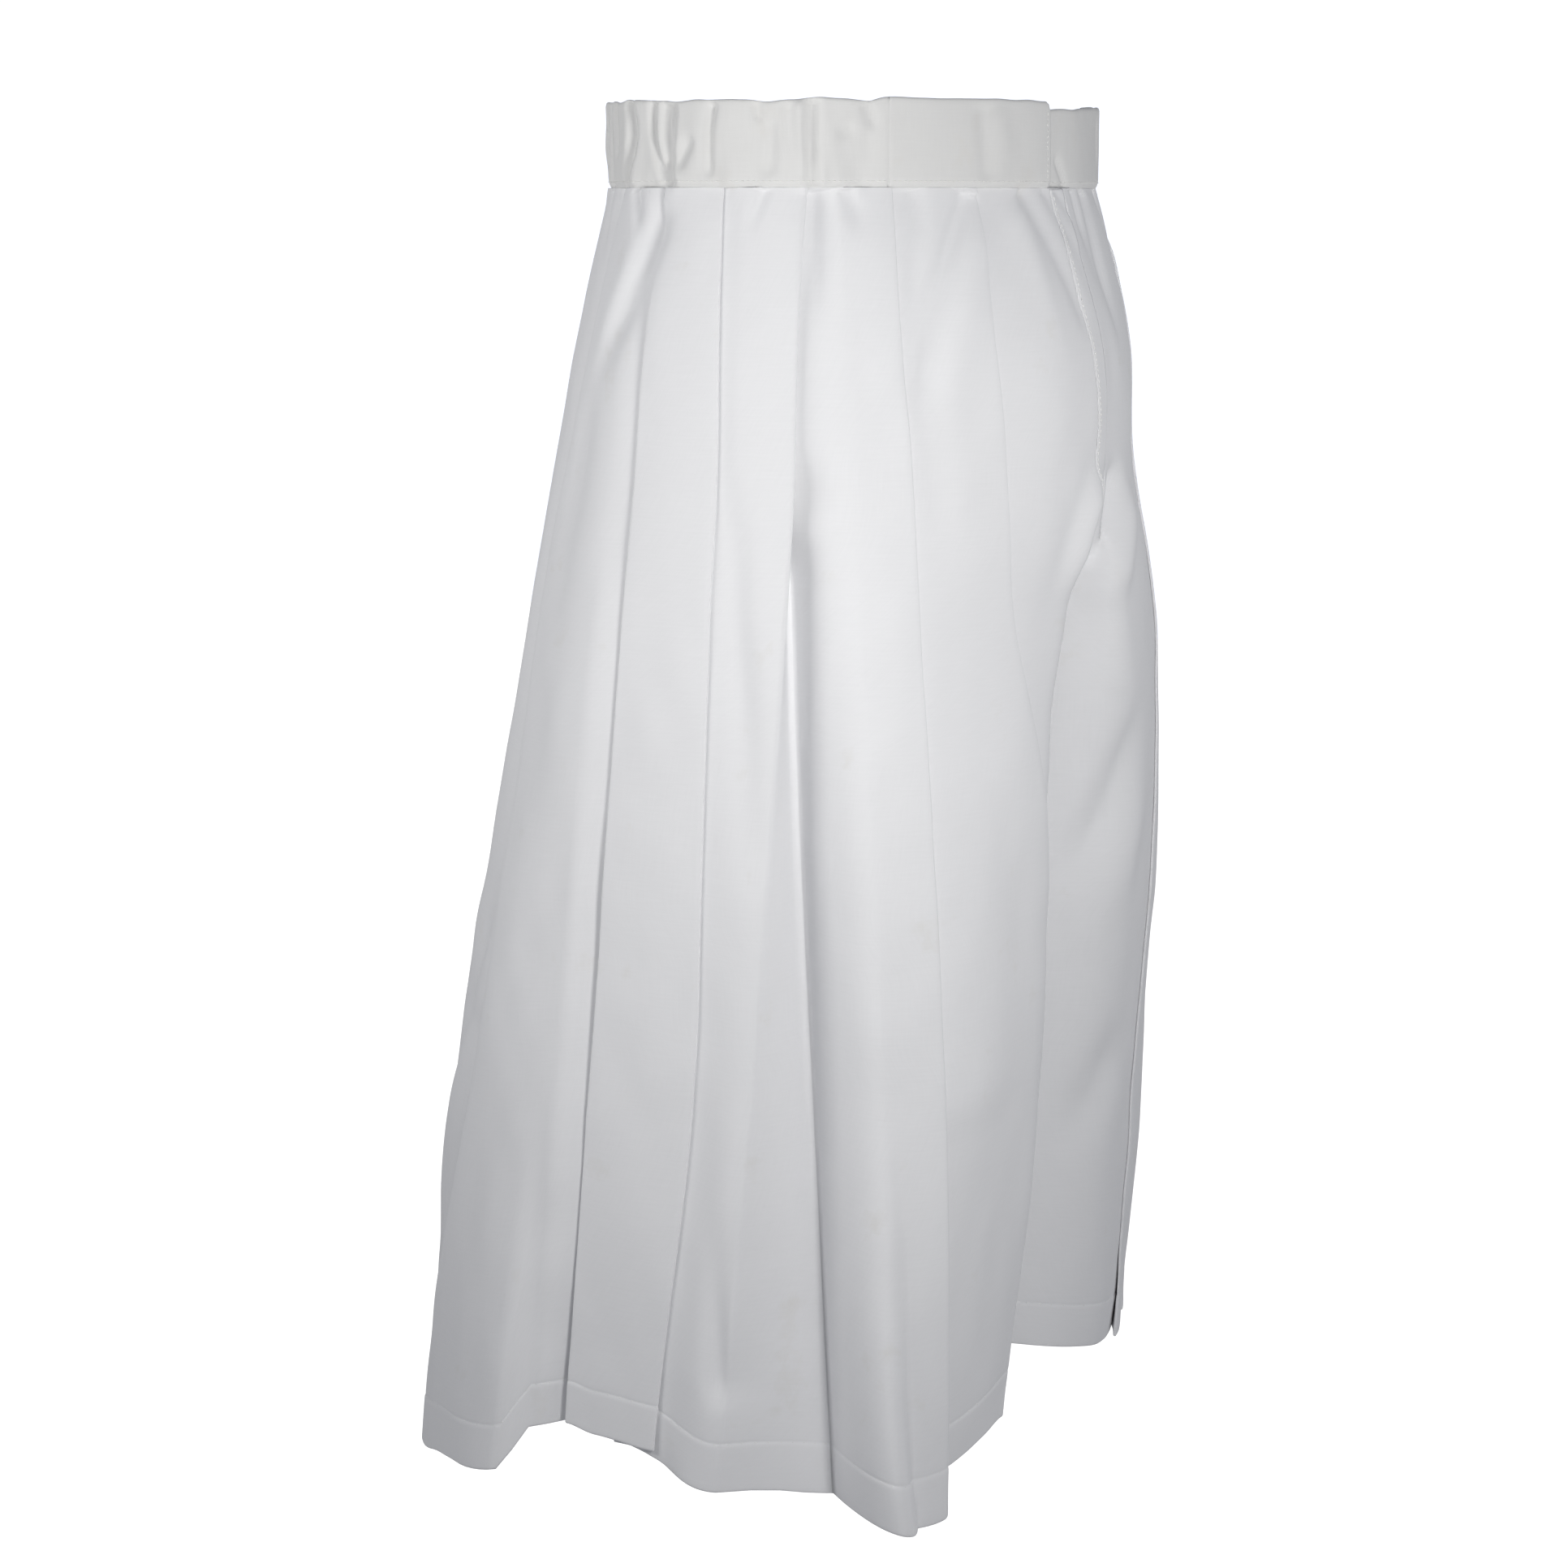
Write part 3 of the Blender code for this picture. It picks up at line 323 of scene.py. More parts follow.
# Creases on the legs, as soft troughs (height below 0) and ridges, all in millimetres: three
# points of a curve as run from the side and drop, then width and height. The last two are the
# shares of its length over which it fades in and out.
millimetre = 0.001
creaseColumns = ("run1", "drop1", "run2", "drop2", "run3", "drop3", "width", "height", "start", "end")
creases = {
    ("right", "front"): (
        (138, 0, 124, 46, 112, 115, 7.5, -2.8, 0.02, 0.55),   # slanting drag below the sixth edge
        (150, 10, 142, 60, 136, 140, 10, 1.4, 0.2, 0.6),
        (176, 0, 212, 30, 244, 82, 6, -1.3, 0.02, 0.25),   # towards the fly
        (168, 4, 196, 40, 222, 110, 8, 1.2, 0.15, 0.6),
        (198, 0, 219, 16, 231, 34, 3.4, -0.7, 0.02, 0.4),
        (210, 0, 226, 12, 236, 20, 3, -0.7, 0.02, 0.4),
        (226, 12, 233, 22, 234, 34, 2.6, 0.5, 0.2, 0.3),
        (54, 0, 60, 36, 66, 80, 6, -2.2, 0.02, 0.6),
        (68, 0, 74, 10, 80, 24, 4, -1.3, 0.02, 0.6),
        (19, 120, 40, 230, 62, 370, 9, -2.2, 0.4, 0.45),
        (54, 520, 52, 585, 60, 618, 6, -2.4, 0.5, 0.25),
        (259, 140, 240, 176, 247, 220, 8, 5, 0.35, 0.4),    # fold out of the rise
        (268, 150, 262, 190, 262, 230, 7, -4, 0.3, 0.45),
        (26, 0, 24, 12, 21, 26, 3.2, -1.1, 0.02, 0.6),
        (104, 0, 110, 14, 113, 30, 3.5, -0.9, 0.02, 0.6)),
    ("right", "back"): (
        (30, 4, 40, 50, 82, 112, 8.5, -3, 0.2, 0.4),   # drag from the second edge
        (74, 100, 80, 150, 84, 240, 9, -1.6, 0.25, 0.6),
        (45, 20, 60, 70, 88, 120, 10, 1.2, 0.25, 0.5),
        (56, 0, 52, 12, 46, 26, 3.8, -1.5, 0.02, 0.6),
        (76, 0, 82, 12, 90, 24, 3.6, -1.4, 0.02, 0.6),
        (100, 0, 98, 20, 92, 46, 4, -1.4, 0.02, 0.6),
        (128, 0, 134, 20, 136, 50, 4.2, -1.3, 0.02, 0.6),
        (156, 0, 152, 18, 144, 40, 3.8, -1.4, 0.02, 0.6),
        (182, 0, 188, 22, 200, 60, 4.5, -1.4, 0.02, 0.6),
        (206, 0, 204, 16, 198, 34, 3.6, -1.2, 0.02, 0.6),
        (120, 330, 150, 420, 196, 520, 12, -3, 0.4, 0.4),
        (250, 150, 262, 210, 268, 300, 11, -3, 0.35, 0.45)),
    ("left", "front"): (
        (240, 140, 262, 182, 292, 206, 7.5, -4.6, 0.2, 0.35),   # slanting into the crotch
        (222, 150, 250, 196, 284, 226, 9, 3, 0.3, 0.4),
        (240, 270, 268, 330, 294, 390, 11, -4, 0.35, 0.4),
        (225, 300, 250, 360, 280, 430, 12, 1.8, 0.35, 0.45),
        (236, 450, 260, 500, 286, 545, 14, -3.2, 0.4, 0.45),
        (150, 0, 140, 50, 128, 110, 6, -2, 0.02, 0.55),
        (190, 0, 206, 30, 228, 90, 5, -1.5, 0.02, 0.45),
        (208, 0, 212, 14, 222, 34, 3, -1.1, 0.02, 0.5),
        (62, 0, 66, 22, 70, 46, 3.8, -1.3, 0.02, 0.6),
        (30, 0, 26, 14, 24, 30, 3.4, -1.2, 0.02, 0.6),
        (108, 0, 112, 16, 118, 34, 3.6, -1.1, 0.02, 0.6),
        (40, 180, 52, 280, 66, 400, 10, -2.2, 0.4, 0.45)),
    ("left", "back"): (
        (34, 4, 48, 56, 86, 120, 8, -3.4, 0.12, 0.45),
        (60, 0, 54, 14, 50, 32, 3.8, -1.4, 0.02, 0.6),
        (84, 0, 90, 12, 96, 26, 3.6, -1.4, 0.02, 0.6),
        (108, 0, 104, 18, 100, 40, 4, -1.4, 0.02, 0.6),
        (136, 0, 140, 18, 146, 48, 4.2, -1.3, 0.02, 0.6),
        (162, 0, 156, 20, 150, 40, 3.8, -1.4, 0.02, 0.6),
        (190, 0, 196, 24, 206, 62, 4.5, -1.4, 0.02, 0.6),
        (210, 0, 206, 14, 202, 30, 3.6, -1.2, 0.02, 0.6),
        (130, 300, 156, 400, 186, 510, 12, -3, 0.4, 0.4),
        (246, 160, 260, 220, 270, 310, 11, -3, 0.35, 0.45))}

def creaseField(table, a, b):
    # Sum over the creases of height * exp(-(distance / width)^2), faded at both ends; a crease
    # is a curve with its middle point as the control, cut into short straight pieces
    total = np.zeros(a.shape)
    t = np.linspace(0, 1, fine["creasePoints"])[:, None]
    spots = np.stack([a.ravel(), b.ravel()], axis=-1)
    for row in table:
        c = dict(zip(creaseColumns, row))
        width, height = c["width"] * millimetre, c["height"] * millimetre
        p, q, r = (np.array([c["run" + n], c["drop" + n]]) * millimetre for n in "123")
        curve = (1 - t) ** 2 * p + 2 * t * (1 - t) * q + t ** 2 * r
        reach = fine["creaseReach"] * width
        near = ((spots > curve.min(axis=0) - reach) & (spots < curve.max(axis=0) + reach)).all(axis=1)
        if not near.any():
            continue
        piece = np.diff(curve, axis=0)
        away = spots[near][:, None, :] - curve[None, :-1]
        share = np.clip((away * piece).sum(-1) / (piece ** 2).sum(-1), 0, 1)
        gap = np.linalg.norm(away - share[..., None] * piece, axis=-1)
        nearest = gap.argmin(axis=1)
        pick = np.arange(len(nearest))
        place = (nearest + share[pick, nearest]) / len(piece)
        fade = ease(place / c["start"]) * ease((1 - place) / c["end"])
        add = np.zeros(len(spots))
        add[near] = height * np.exp(-(gap[pick, nearest] / width) ** 2) * fade
        total += add.reshape(a.shape)
    return total


# Height of each kind of unevenness with its cells along the section and down it, and how far
# from the seam and from the centre it starts. The front is gathered less from plainFrom on.
unevenness = {"creases": 1.7, "wide": 0.0016, "wideRun": 0.045, "wideDrop": 0.130,
              "small": 0.00060, "smallRun": 0.016, "smallDrop": 0.030,
              "puckers": 0.0010, "puckerRun": 0.0075, "puckerDrop": 0.018, "puckerFades": 0.010,
              "fromSeam": 0.03, "fromCentre": 0.02, "plainFrom": 0.080, "plainFades": 0.02, "plainLess": 0.65}


def clothRelief(side, half, run, drop, seed):
    # Listed creases, wide and small unevenness, and puckers that fade below the waist seam. The
    # noise runs on through the side panel from back to front, and ends before the inner leg.
    u = unevenness
    place = 1 + (run if half == "front" else -run)
    free = ease(drop / u["fromSeam"]) * ease((run[-1] - run) / u["fromCentre"])
    wide = u["wide"] * softNoise(place, drop, u["wideRun"], u["wideDrop"], seed) * free
    small = u["small"] * softNoise(place, drop, u["smallRun"], u["smallDrop"], seed + 1) * free
    gathered = 1.0 if half == "back" else 1 - u["plainLess"] * ease((run - u["plainFrom"]) / u["plainFades"])
    pucker = u["puckers"] * softNoise(place, drop, u["puckerRun"], u["puckerDrop"], seed + 2)
    return (u["creases"] * creaseField(creases[side, half], run, drop) + wide + small
            + gathered * pucker * np.exp(-(drop / u["puckerFades"]) ** 2))


def legRows():
    # Even rows with finer ones at the waist seam, the hem's upper edge and its fold
    starts = {"seam": 0, "hemTop": hemTop, "fold": cut["legLength"]}
    even = np.linspace(0, cut["legLength"], fine["rows"])
    extra = [start + np.array(finerRows[name]) for name, start in starts.items()]
    rows = np.unique(np.concatenate([even, *extra]).round(5))
    return rows, np.where(rows < 0, rows, np.interp(rows, outerRows, edgeRows))


def hemWaves(table, run, drop):
    # height * rise * fall * start, each of them an ease curve
    out, low = np.zeros_like(run), np.zeros_like(run)
    for row in table:
        w = dict(zip(waveColumns, row))
        shape = ease((run - w["rise"]) / (w["crest"] - w["rise"]))
        shape = shape * (1 - ease((run - w["crest"]) / (w["fall"] - w["crest"])))
        shape = shape * ease((drop - w["start"]) / (cut["legLength"] - w["start"]))
        out, low = out + w["height"] * shape, low + w["lower"] * shape
    return out, low


def legHalf(side, half, seed):
    # Middle surface of one half of a leg: section point + normal * (pleat height + relief), and
    # lower by dip * (share of the way down)^3
    table, mirror = levels[side], 1.0 if side == "right" else -1.0
    outer, edge = legRows()

    def dropAt(share):
        return outer + (edge - outer) * share ** fine["edgePull"]

    dips = pleatColumns.index("dip")
    sideDip = (pleats[side, "front"][0][1][dips] + pleats[side, "back"][0][1][dips]) / 2
    run, out, drop, dip = halfPath(table, pleats[side, half], half, sideDip, dropAt)
    base = alongSection(table, half, np.maximum(drop, 0), run)
    waveOut, waveLow = hemWaves(waves[side, half], run, drop)
    out = out + waveOut + clothRelief(side, half, run, drop, seed)
    x, y = base[..., 0] + base[..., 2] * out, base[..., 1] + base[..., 3] * out
    z = seamZ - drop - dip * (np.maximum(drop, 0) / cut["legLength"]) ** 3 - waveLow
    points = np.stack([x * mirror, y, z], axis=-1)
    points[..., 0] = mirror * np.minimum(mirror * points[..., 0], -(cut["seamGap"] + cut["cloth"]) / 2)
    return points, drop


def gridNormals(grid):
    # Unit cross product of the grid's two directions, turned away from its middle
    normal = np.cross(np.gradient(grid, axis=0), np.gradient(grid, axis=1))
    normal /= np.maximum(np.linalg.norm(normal, axis=-1, keepdims=True), 1e-12)
    away = grid - grid.mean(axis=(0, 1))
    return normal if (normal * away).sum() > 0 else -normal


def clothUv(grid, drop):
    # Across: length along the cloth at each row. Down: the drop. Both in metres.
    steps = np.linalg.norm(np.diff(grid, axis=0), axis=-1)
    across = np.concatenate([np.zeros((1, grid.shape[1])), np.cumsum(steps, axis=0)])
    return np.stack([across, drop], axis=-1)


pieces = {}


def meshPiece(name, points, faces, uv=None, nodeName=None):
    # A smooth mesh on the root body, in place of a node of the frame where one is named
    mesh = bpy.data.meshes.new(name)
    mesh.from_pydata(points.reshape(-1, 3).tolist(), [], faces)
    if uv is not None:
        corners = np.empty(len(mesh.loops), int)
        mesh.loops.foreach_get("vertex_index", corners)
        mesh.uv_layers.new(name="cloth").data.foreach_set("uv", uv.reshape(-1, 2)[corners].ravel())
    mesh.shade_smooth()
    mesh.update()
    piece = bpy.data.objects.new(name, mesh)
    bpy.context.scene.collection.objects.link(piece)
    if nodeName:
        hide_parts(nodeName)
    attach(piece, "root")
    pieces[name] = piece


def closedWall(name, nodeName, outer, inner, uv):
    # Two like grids of points joined round the rim, as one closed mesh with its own UV map
    stations, rows = outer.shape[:2]
    count = stations * rows
    index = np.arange(count).reshape(stations, rows)
    a, b, c, d = index[:-1, :-1], index[1:, :-1], index[1:, 1:], index[:-1, 1:]
    face = np.stack([a, b, c, d], axis=-1).reshape(-1, 4)
    rim = np.concatenate([index[:, 0], index[-1, 1:], index[-2::-1, -1], index[0, -2:0:-1]])
    after = np.roll(rim, -1)
    edge = np.stack([rim, rim + count, after + count, after], axis=-1)
    faces = np.concatenate([face, face[:, ::-1] + count, edge])
    points = np.concatenate([outer.reshape(-1, 3), inner.reshape(-1, 3)])
    one = np.cross(points[face[:, 1]] - points[face[:, 0]], points[face[:, 2]] - points[face[:, 0]])
    if (one * (points[face[:, 0]] - points[face[:, 0] + count])).sum() < 0:
        faces = faces[:, ::-1]
    meshPiece(name, points, faces.tolist(), np.stack([uv, uv]), nodeName)


# The turned hem: the groove of its stitching, and how it ripples and rounds at the fold
hem = {"edge": 0.0005, "groove": 0.00022, "grooveWidth": 0.0011, "raised": 0.00025, "fold": 0.0014,
       "roundLeast": 0.04, "ripple": 0.00012, "rippleRun": 0.35, "rippleDrop": 0.014}


def legCloth(side, seed):
    # Outer and inner faces of a whole leg: half the cloth to each side of the middle surface,
    # one more layer inside the hem, a groove at the hem's upper edge, and a rounded fold below
    front, frontDrop = legHalf(side, "front", seed)
    back, backDrop = legHalf(side, "back", seed)
    middle = np.concatenate([back[::-1], front[1:]])
    drop = np.concatenate([backDrop[::-1], frontDrop[1:]])
    half = cut["cloth"] / 2
    inHem = ease((drop - hemTop + hem["edge"]) / (2 * hem["edge"]))
    groove = -hem["groove"] * np.exp(-((drop - hemTop) / hem["grooveWidth"]) ** 2)
    along = np.arange(len(middle))[:, None] * hem["rippleRun"] + 0 * drop
    ripple = hem["ripple"] * softNoise(along, drop, 1, hem["rippleDrop"], seed + 5) * inHem
    toFold = np.clip((drop - cut["legLength"] + hem["fold"]) / hem["fold"], 0, 1)
    rounding = np.sqrt(np.clip(1 - toFold ** 2, hem["roundLeast"], 1))
    thickOut = (half + hem["raised"] * inHem) * rounding + groove
    thickIn = (half + cut["cloth"] * inHem) * rounding
    normal = gridNormals(middle)
    outer = middle + normal * (thickOut + ripple)[..., None]
    inner = middle - normal * (thickIn - ripple)[..., None]
    seam = len(back) - 1 + fine["firstSteps"] - 1 + 2 * fine["bendSteps"] + fine["underSteps"]
    return {"outer": outer, "inner": inner, "uv": clothUv(middle, drop), "seam": seam,
            "normal": normal, "drop": drop}


# What each leg piece was cut to, as width along the hem with its pleats and length
legPieces = {
    ("right", "front"): ("legRightFrontCloth", "leg_right_front", (0.62, 0.70)),
    ("right", "back"): ("legRightBackCloth", "leg_right_back", (0.80, 0.70)),
    ("left", "front"): ("legLeftFrontCloth", "leg_left_front", (0.60, 0.70)),
    ("left", "back"): ("legLeftBackCloth", "leg_left_back", (0.76, 0.70))}
legs = {side: legCloth(side, seed) for side, seed in (("right", 21), ("left", 57))}
for (side, half), (name, nodeName, flat) in legPieces.items():
    leg = legs[side]
    part = slice(leg["seam"], None) if half == "front" else slice(None, leg["seam"] + 1)
    closedWall(name, nodeName, leg["outer"][part], leg["inner"][part], leg["uv"][part])
    print(name, "made, cloth", leg["uv"][part][..., 0].ptp(axis=0).max().round(3), "m wide")

# Waistband, as places along the waist from the centre front to the wearer's left. Its upper and
# lower edges are rounded over a share of its height, and the lapped end's corner by a radius.
band = {"elasticStart": 0.1315, "elasticFades": 0.012, "elasticLow": 0.0012, "lapEnd": -0.016,
        "lapUnder": -0.060, "lapRises": 0.034, "lapLow": 0.004, "backStart": 0.11, "step": 0.0016,
        "faceRows": 26, "roundRows": 4, "insideRows": 8, "roundShare": 0.04, "cornerRound": 0.004,
        "endShare": 0.80, "endOut": 0.0006, "endIn": 0.2, "mapStep": 0.002}

# Creases on the band, in the same columns: place round the waist and height from the band's
# middle. The first ones show at the wearer's right side, and the others are like them.
bandCreases = (
    (-252, 22, -254, 2, -250, -22, 3, -3.2, 0.02, 0.02),
    (-262, 22, -266, 4, -253, -22, 2.4, -2.2, 0.02, 0.1),
    (-247, 22, -247, 4, -250, -14, 2.2, -2, 0.05, 0.3),
    (-222, 22, -227, 2, -224, -20, 2.8, -2.2, 0.05, 0.2),
    (-232, 6, -240, -4, -246, -14, 4, -1.8, 0.4, 0.2),
    (-192, 18, -190, 0, -193, -20, 3.8, -1.4, 0.25, 0.2),
    (-199, 22, -198, 16, -196, 10, 2.4, -1.4, 0.05, 0.5),
    (-170, 22, -171.5, 0, -169.5, -22, 3, -1.9, 0.02, 0.02),
    (-177, 22, -176, 4, -174.5, -18, 2.6, 1, 0.1, 0.3),
    (-183.5, 22, -182, 6, -181, -10, 2.8, -0.9, 0.1, 0.5),
    (-144, 22, -141, 14, -138, 4, 2.8, -1.4, 0.05, 0.5),
    (-160, 4, -154, 6, -148, 8, 3.4, -0.8, 0.4, 0.4),
    (-75, 21, -72, 2, -71, -21, 6, -1.1, 0.15, 0.15),
    (-66, 20, -62, 6, -60, -12, 8, 0.7, 0.3, 0.5),
    (-6, -4, -1, -12, 6, -22, 2.4, -1.2, 0.3, 0.05),
    (66, 18, 70, 2, 72, -16, 4, -1.4, 0.25, 0.3),
    (-284, 22, -272, 4, -292, -22, 3.4, -3, 0.05, 0.05),
    (-304, 22, -300, 8, -304, -10, 2.6, -2.2, 0.05, 0.4))


# Gathers at uneven places for the stretch that the view doesn't reach, in millimetres but for the
# chances that one is shorter at its top or bottom, the lean that is left there, and the fade
gathers = {"shift": 4, "lean": 4, "lowerLean": 0.3, "depth": (1.6, 3.2), "width": (2.2, 4.0), "end": 22,
           "shorter": 14, "topChance": 0.3, "bottomChance": 0.4, "fade": 0.06}


def backGathers(seed, count, start, end):
    # Rows like the creases above, with drawn leans, depths, widths and ends
    draw, g = np.random.default_rng(seed), gathers
    table = []
    for place in np.linspace(start, end, count) + draw.uniform(-g["shift"], g["shift"], count):
        lean, deep = draw.uniform(-g["lean"], g["lean"]), draw.uniform(*g["depth"])
        high, low = draw.uniform(0, g["shorter"], 2)
        top = g["end"] - high * (draw.random() < g["topChance"])
        bottom = low * (draw.random() < g["bottomChance"]) - g["end"]
        table.append((place, top, place + lean, 0, place + lean * g["lowerLean"], bottom,
                      draw.uniform(*g["width"]), -deep, g["fade"], g["fade"]))
    return tuple(table)


bandCreases = bandCreases + backGathers(31, 30, -322, -690) + backGathers(32, 6, 142, 232)
# Height and cell of each kind of unevenness, how much of it the plain fronts have, how far up the
# seam's pull and its tuck reach as shares of the height, and the limits of it all
bandRelief = {"creases": 1.6, "swell": 0.0013, "swellCell": 0.017, "swellRise": 0.03, "plainSwell": 0.35,
              "small": 0.0005, "smallCell": 0.0065, "smallRise": 0.02, "plainSmall": 0.3,
              "seam": 0.0007, "seamCell": 0.0048, "seamRise": 0.05, "seamReach": 0.22,
              "tuck": 0.0012, "tuckReach": 0.055, "edge": 0.0011, "edgeCell": 0.013,
              "edgeFrom": 0.1, "edgePace": 1.8, "edgeFollows": 0.35, "insideShare": 0.6,
              "lowest": -0.0046, "highest": 0.0018, "seed": 7}


def waistRing(place):
    # Points and normals of the waist's section; a place beyond half round comes back on the other side
    frontLength = sectionLength(levels["right"], "front", 0.0)
    around = 2 * (frontLength + sectionLength(levels["right"], "back", 0.0))
    place = (place + around / 2) % around - around / 2
    base = alongSection(levels["right"], "front", 0.0, frontLength - np.abs(place))
    side = np.where(place > 0, -1.0, 1.0)
    return (np.stack([base[..., 0] * side, base[..., 1]], axis=-1),
            np.stack([base[..., 2] * side, base[..., 3]], axis=-1), around)


def bandLoop():
    # Once round the band's cross-section: share of height from -1/2 to 1/2 and share of wall
    # from 1 outside to 0 inside, with half-round edges
    rows, rounded = band["roundRows"], band["roundShare"]
    plain = 0.5 - rounded
    outside = [(h, 1.0) for h in np.linspace(-plain, plain, band["faceRows"])]
    edge = [math.pi / 2 * (1 - 2 * k / (rows + 1)) for k in range(1, rows + 1)]
    top = [(plain + rounded * math.cos(a), 0.5 + 0.5 * math.sin(a)) for a in edge]
    inside = [(h, 0.0) for h in np.linspace(plain, -plain, band["insideRows"])]
    bottom = [(-plain - rounded * math.cos(a), 0.5 - 0.5 * math.sin(a)) for a in edge]
    return np.array(outside + top + inside + bottom)


def bandUneven(where, height, z, elastic):
    # How far the face stands out: creases + swell + small + the seam's pull, between two limits
    r = bandRelief
    spot = where[:, None] + 0 * height
    swell = r["swell"] * softNoise(spot + 2, z, r["swellCell"], r["swellRise"], r["seed"])
    small = r["small"] * softNoise(spot + 2, z, r["smallCell"], r["smallRise"], r["seed"] + 1)
    pulled = r["seam"] * softNoise(spot + 2, z, r["seamCell"], r["seamRise"], r["seed"] + 2)
    pulled = pulled * np.exp(-((height + 0.5) / r["seamReach"]) ** 2)
    relief = r["creases"] * creaseField(bandCreases, spot, z)
    relief = relief + swell * (r["plainSwell"] + elastic) + (small + pulled) * (r["plainSmall"] + elastic)
    wavy = r["edge"] * softNoise(spot + 2, 0 * z, r["edgeCell"], 1, r["seed"] + 3)
    return np.clip(relief, r["lowest"], r["highest"]), wavy


def bandSurface(place, sunk, lowered, cornerAt):
    # The cross-section carried along the waist, its outer face raised by gathers and creases:
    # point = ring + normal * (wall + relief), and the upper edge falls and rises with the relief
    flat, normal, around = waistRing(place)
    height, wall = bandLoop()[None, :, 0], bandLoop()[None, :, 1]
    z = cut["bandHeight"] * height - lowered[:, None] * (height + 0.5)
    where = np.where(place > around / 2, place - around, place)
    where = np.where(where > band["elasticStart"] + band["backStart"], where - around, where)
    elastic = ease((np.abs(where) - band["elasticStart"]) / band["elasticFades"])[:, None]
    relief, wavy = bandUneven(where, height, z, elastic)
    share = bandRelief["insideShare"]
    away = cut["bandOut"] - cut["bandWall"] * (1 - wall) - sunk[:, None]
    away = away + relief * (share + (1 - share) * wall)
    away = away - bandRelief["tuck"] * wall * np.exp(-((height + 0.5) / bandRelief["tuckReach"]) ** 2)
    plain = bandRelief["plainSmall"]
    rising = (relief * bandRelief["edgeFollows"] - band["elasticLow"]) * elastic
    rising = rising + wavy * (plain + (1 - plain) * elastic)
    z = z + ease((height + bandRelief["edgeFrom"]) * bandRelief["edgePace"]) * rising
    if cornerAt is not None:   # the corner's quarter circle
        radius = band["cornerRound"]
        corner = np.clip(radius - np.abs(place - cornerAt), 0, None)
        drop = radius - np.sqrt(np.maximum(radius ** 2 - corner ** 2, 0))
        z = z - drop[:, None] * (height > 0) * (height * 2)
    points = np.concatenate([flat[:, None] + normal[:, None] * away[..., None], z[..., None]], axis=-1)
    return points, where


def bandPiece(name, nodeName, place, sunk, lowered, cornerAt=None):
    # The surface closed at both ends by a smaller copy of the end section, a little further out
    points, where = bandSurface(place, sunk, lowered, cornerAt)
    ends = np.array([0, -1])
    centre = points[ends].mean(axis=1, keepdims=True)
    along = np.array([points[0].mean(0) - points[1].mean(0), points[-1].mean(0) - points[-2].mean(0)])
    along = along / np.linalg.norm(along, axis=-1, keepdims=True) * band["endOut"]
    caps = centre + (points[ends] - centre) * band["endShare"] + along[:, None]
    points[ends] = points[ends] - along[:, None] * band["endIn"]
    points = np.concatenate([caps[:1], points, caps[1:]])
    index = np.arange(points[..., 0].size).reshape(points.shape[:2])
    beside = np.roll(index, -1, axis=1)
    faces = np.stack([index[:-1], index[1:], beside[1:], beside[:-1]], axis=-1).reshape(-1, 4).tolist()
    faces += [index[0].tolist(), index[-1, ::-1].tolist()]
    face = points[:, : band["faceRows"]]
    first = np.cross(face[1:, :-1] - face[:-1, :-1], face[:-1, 1:] - face[:-1, :-1])
    if (first[..., :2] * face[:-1, :-1, :2]).sum() < 0:
        faces = [corners[::-1] for corners in faces]
    across = np.concatenate([where[:1], where, where[-1:]])
    around = np.cumsum(np.full(points.shape[1], band["mapStep"]))
    uv = np.stack(np.broadcast_arrays(across[:, None], around[None]), axis=-1)
    meshPiece(name, points, faces, uv, nodeName)
    return points[1:-1]


def bandPlaces(start, end):
    return np.linspace(start, end, round(abs(end - start) / band["step"]) + 1)


gap, elasticStart, lapEnd = cut["seamGap"] / 2, band["elasticStart"], band["lapEnd"]
place = bandPlaces(-elasticStart + gap, lapEnd)
rightBand = bandPiece("waistbandFrontRight", "waistband_front_right", place, 0 * place, 0 * place, place[-1])
place = bandPlaces(band["lapUnder"], elasticStart - gap)
sunk = (cut["bandWall"] + cut["seamGap"]) * (1 - ease((place - lapEnd) / band["lapRises"]))
low = band["lapLow"] * (1 - ease((place - lapEnd) / (elasticStart - lapEnd)))
leftBand = bandPiece("waistbandFrontLeft", "waistband_front_left", place, sunk, low)
halfRound = sectionLength(levels["right"], "front", 0.0) + sectionLength(levels["right"], "back", 0.0)
place = bandPlaces(elasticStart + gap, 2 * halfRound - elasticStart - gap)
backBand = bandPiece("waistbandBack", "waistband_back", place, 0 * place, 0 * place)
print("waistband made")

# Fly: the folded edge of the right front, 14.5 mm wide, with a rounded lower end. Its free edge
# thins out over softSteps, its lower end over softRows.
fly = {"width": 0.0145, "length": 0.168, "curveStart": 0.140, "under": 0.00012, "thick": 0.0007, "steps": 15,
       "thinEdge": 0.35, "softSteps": 2.2, "softRows": 3, "leastWidth": 0.02}


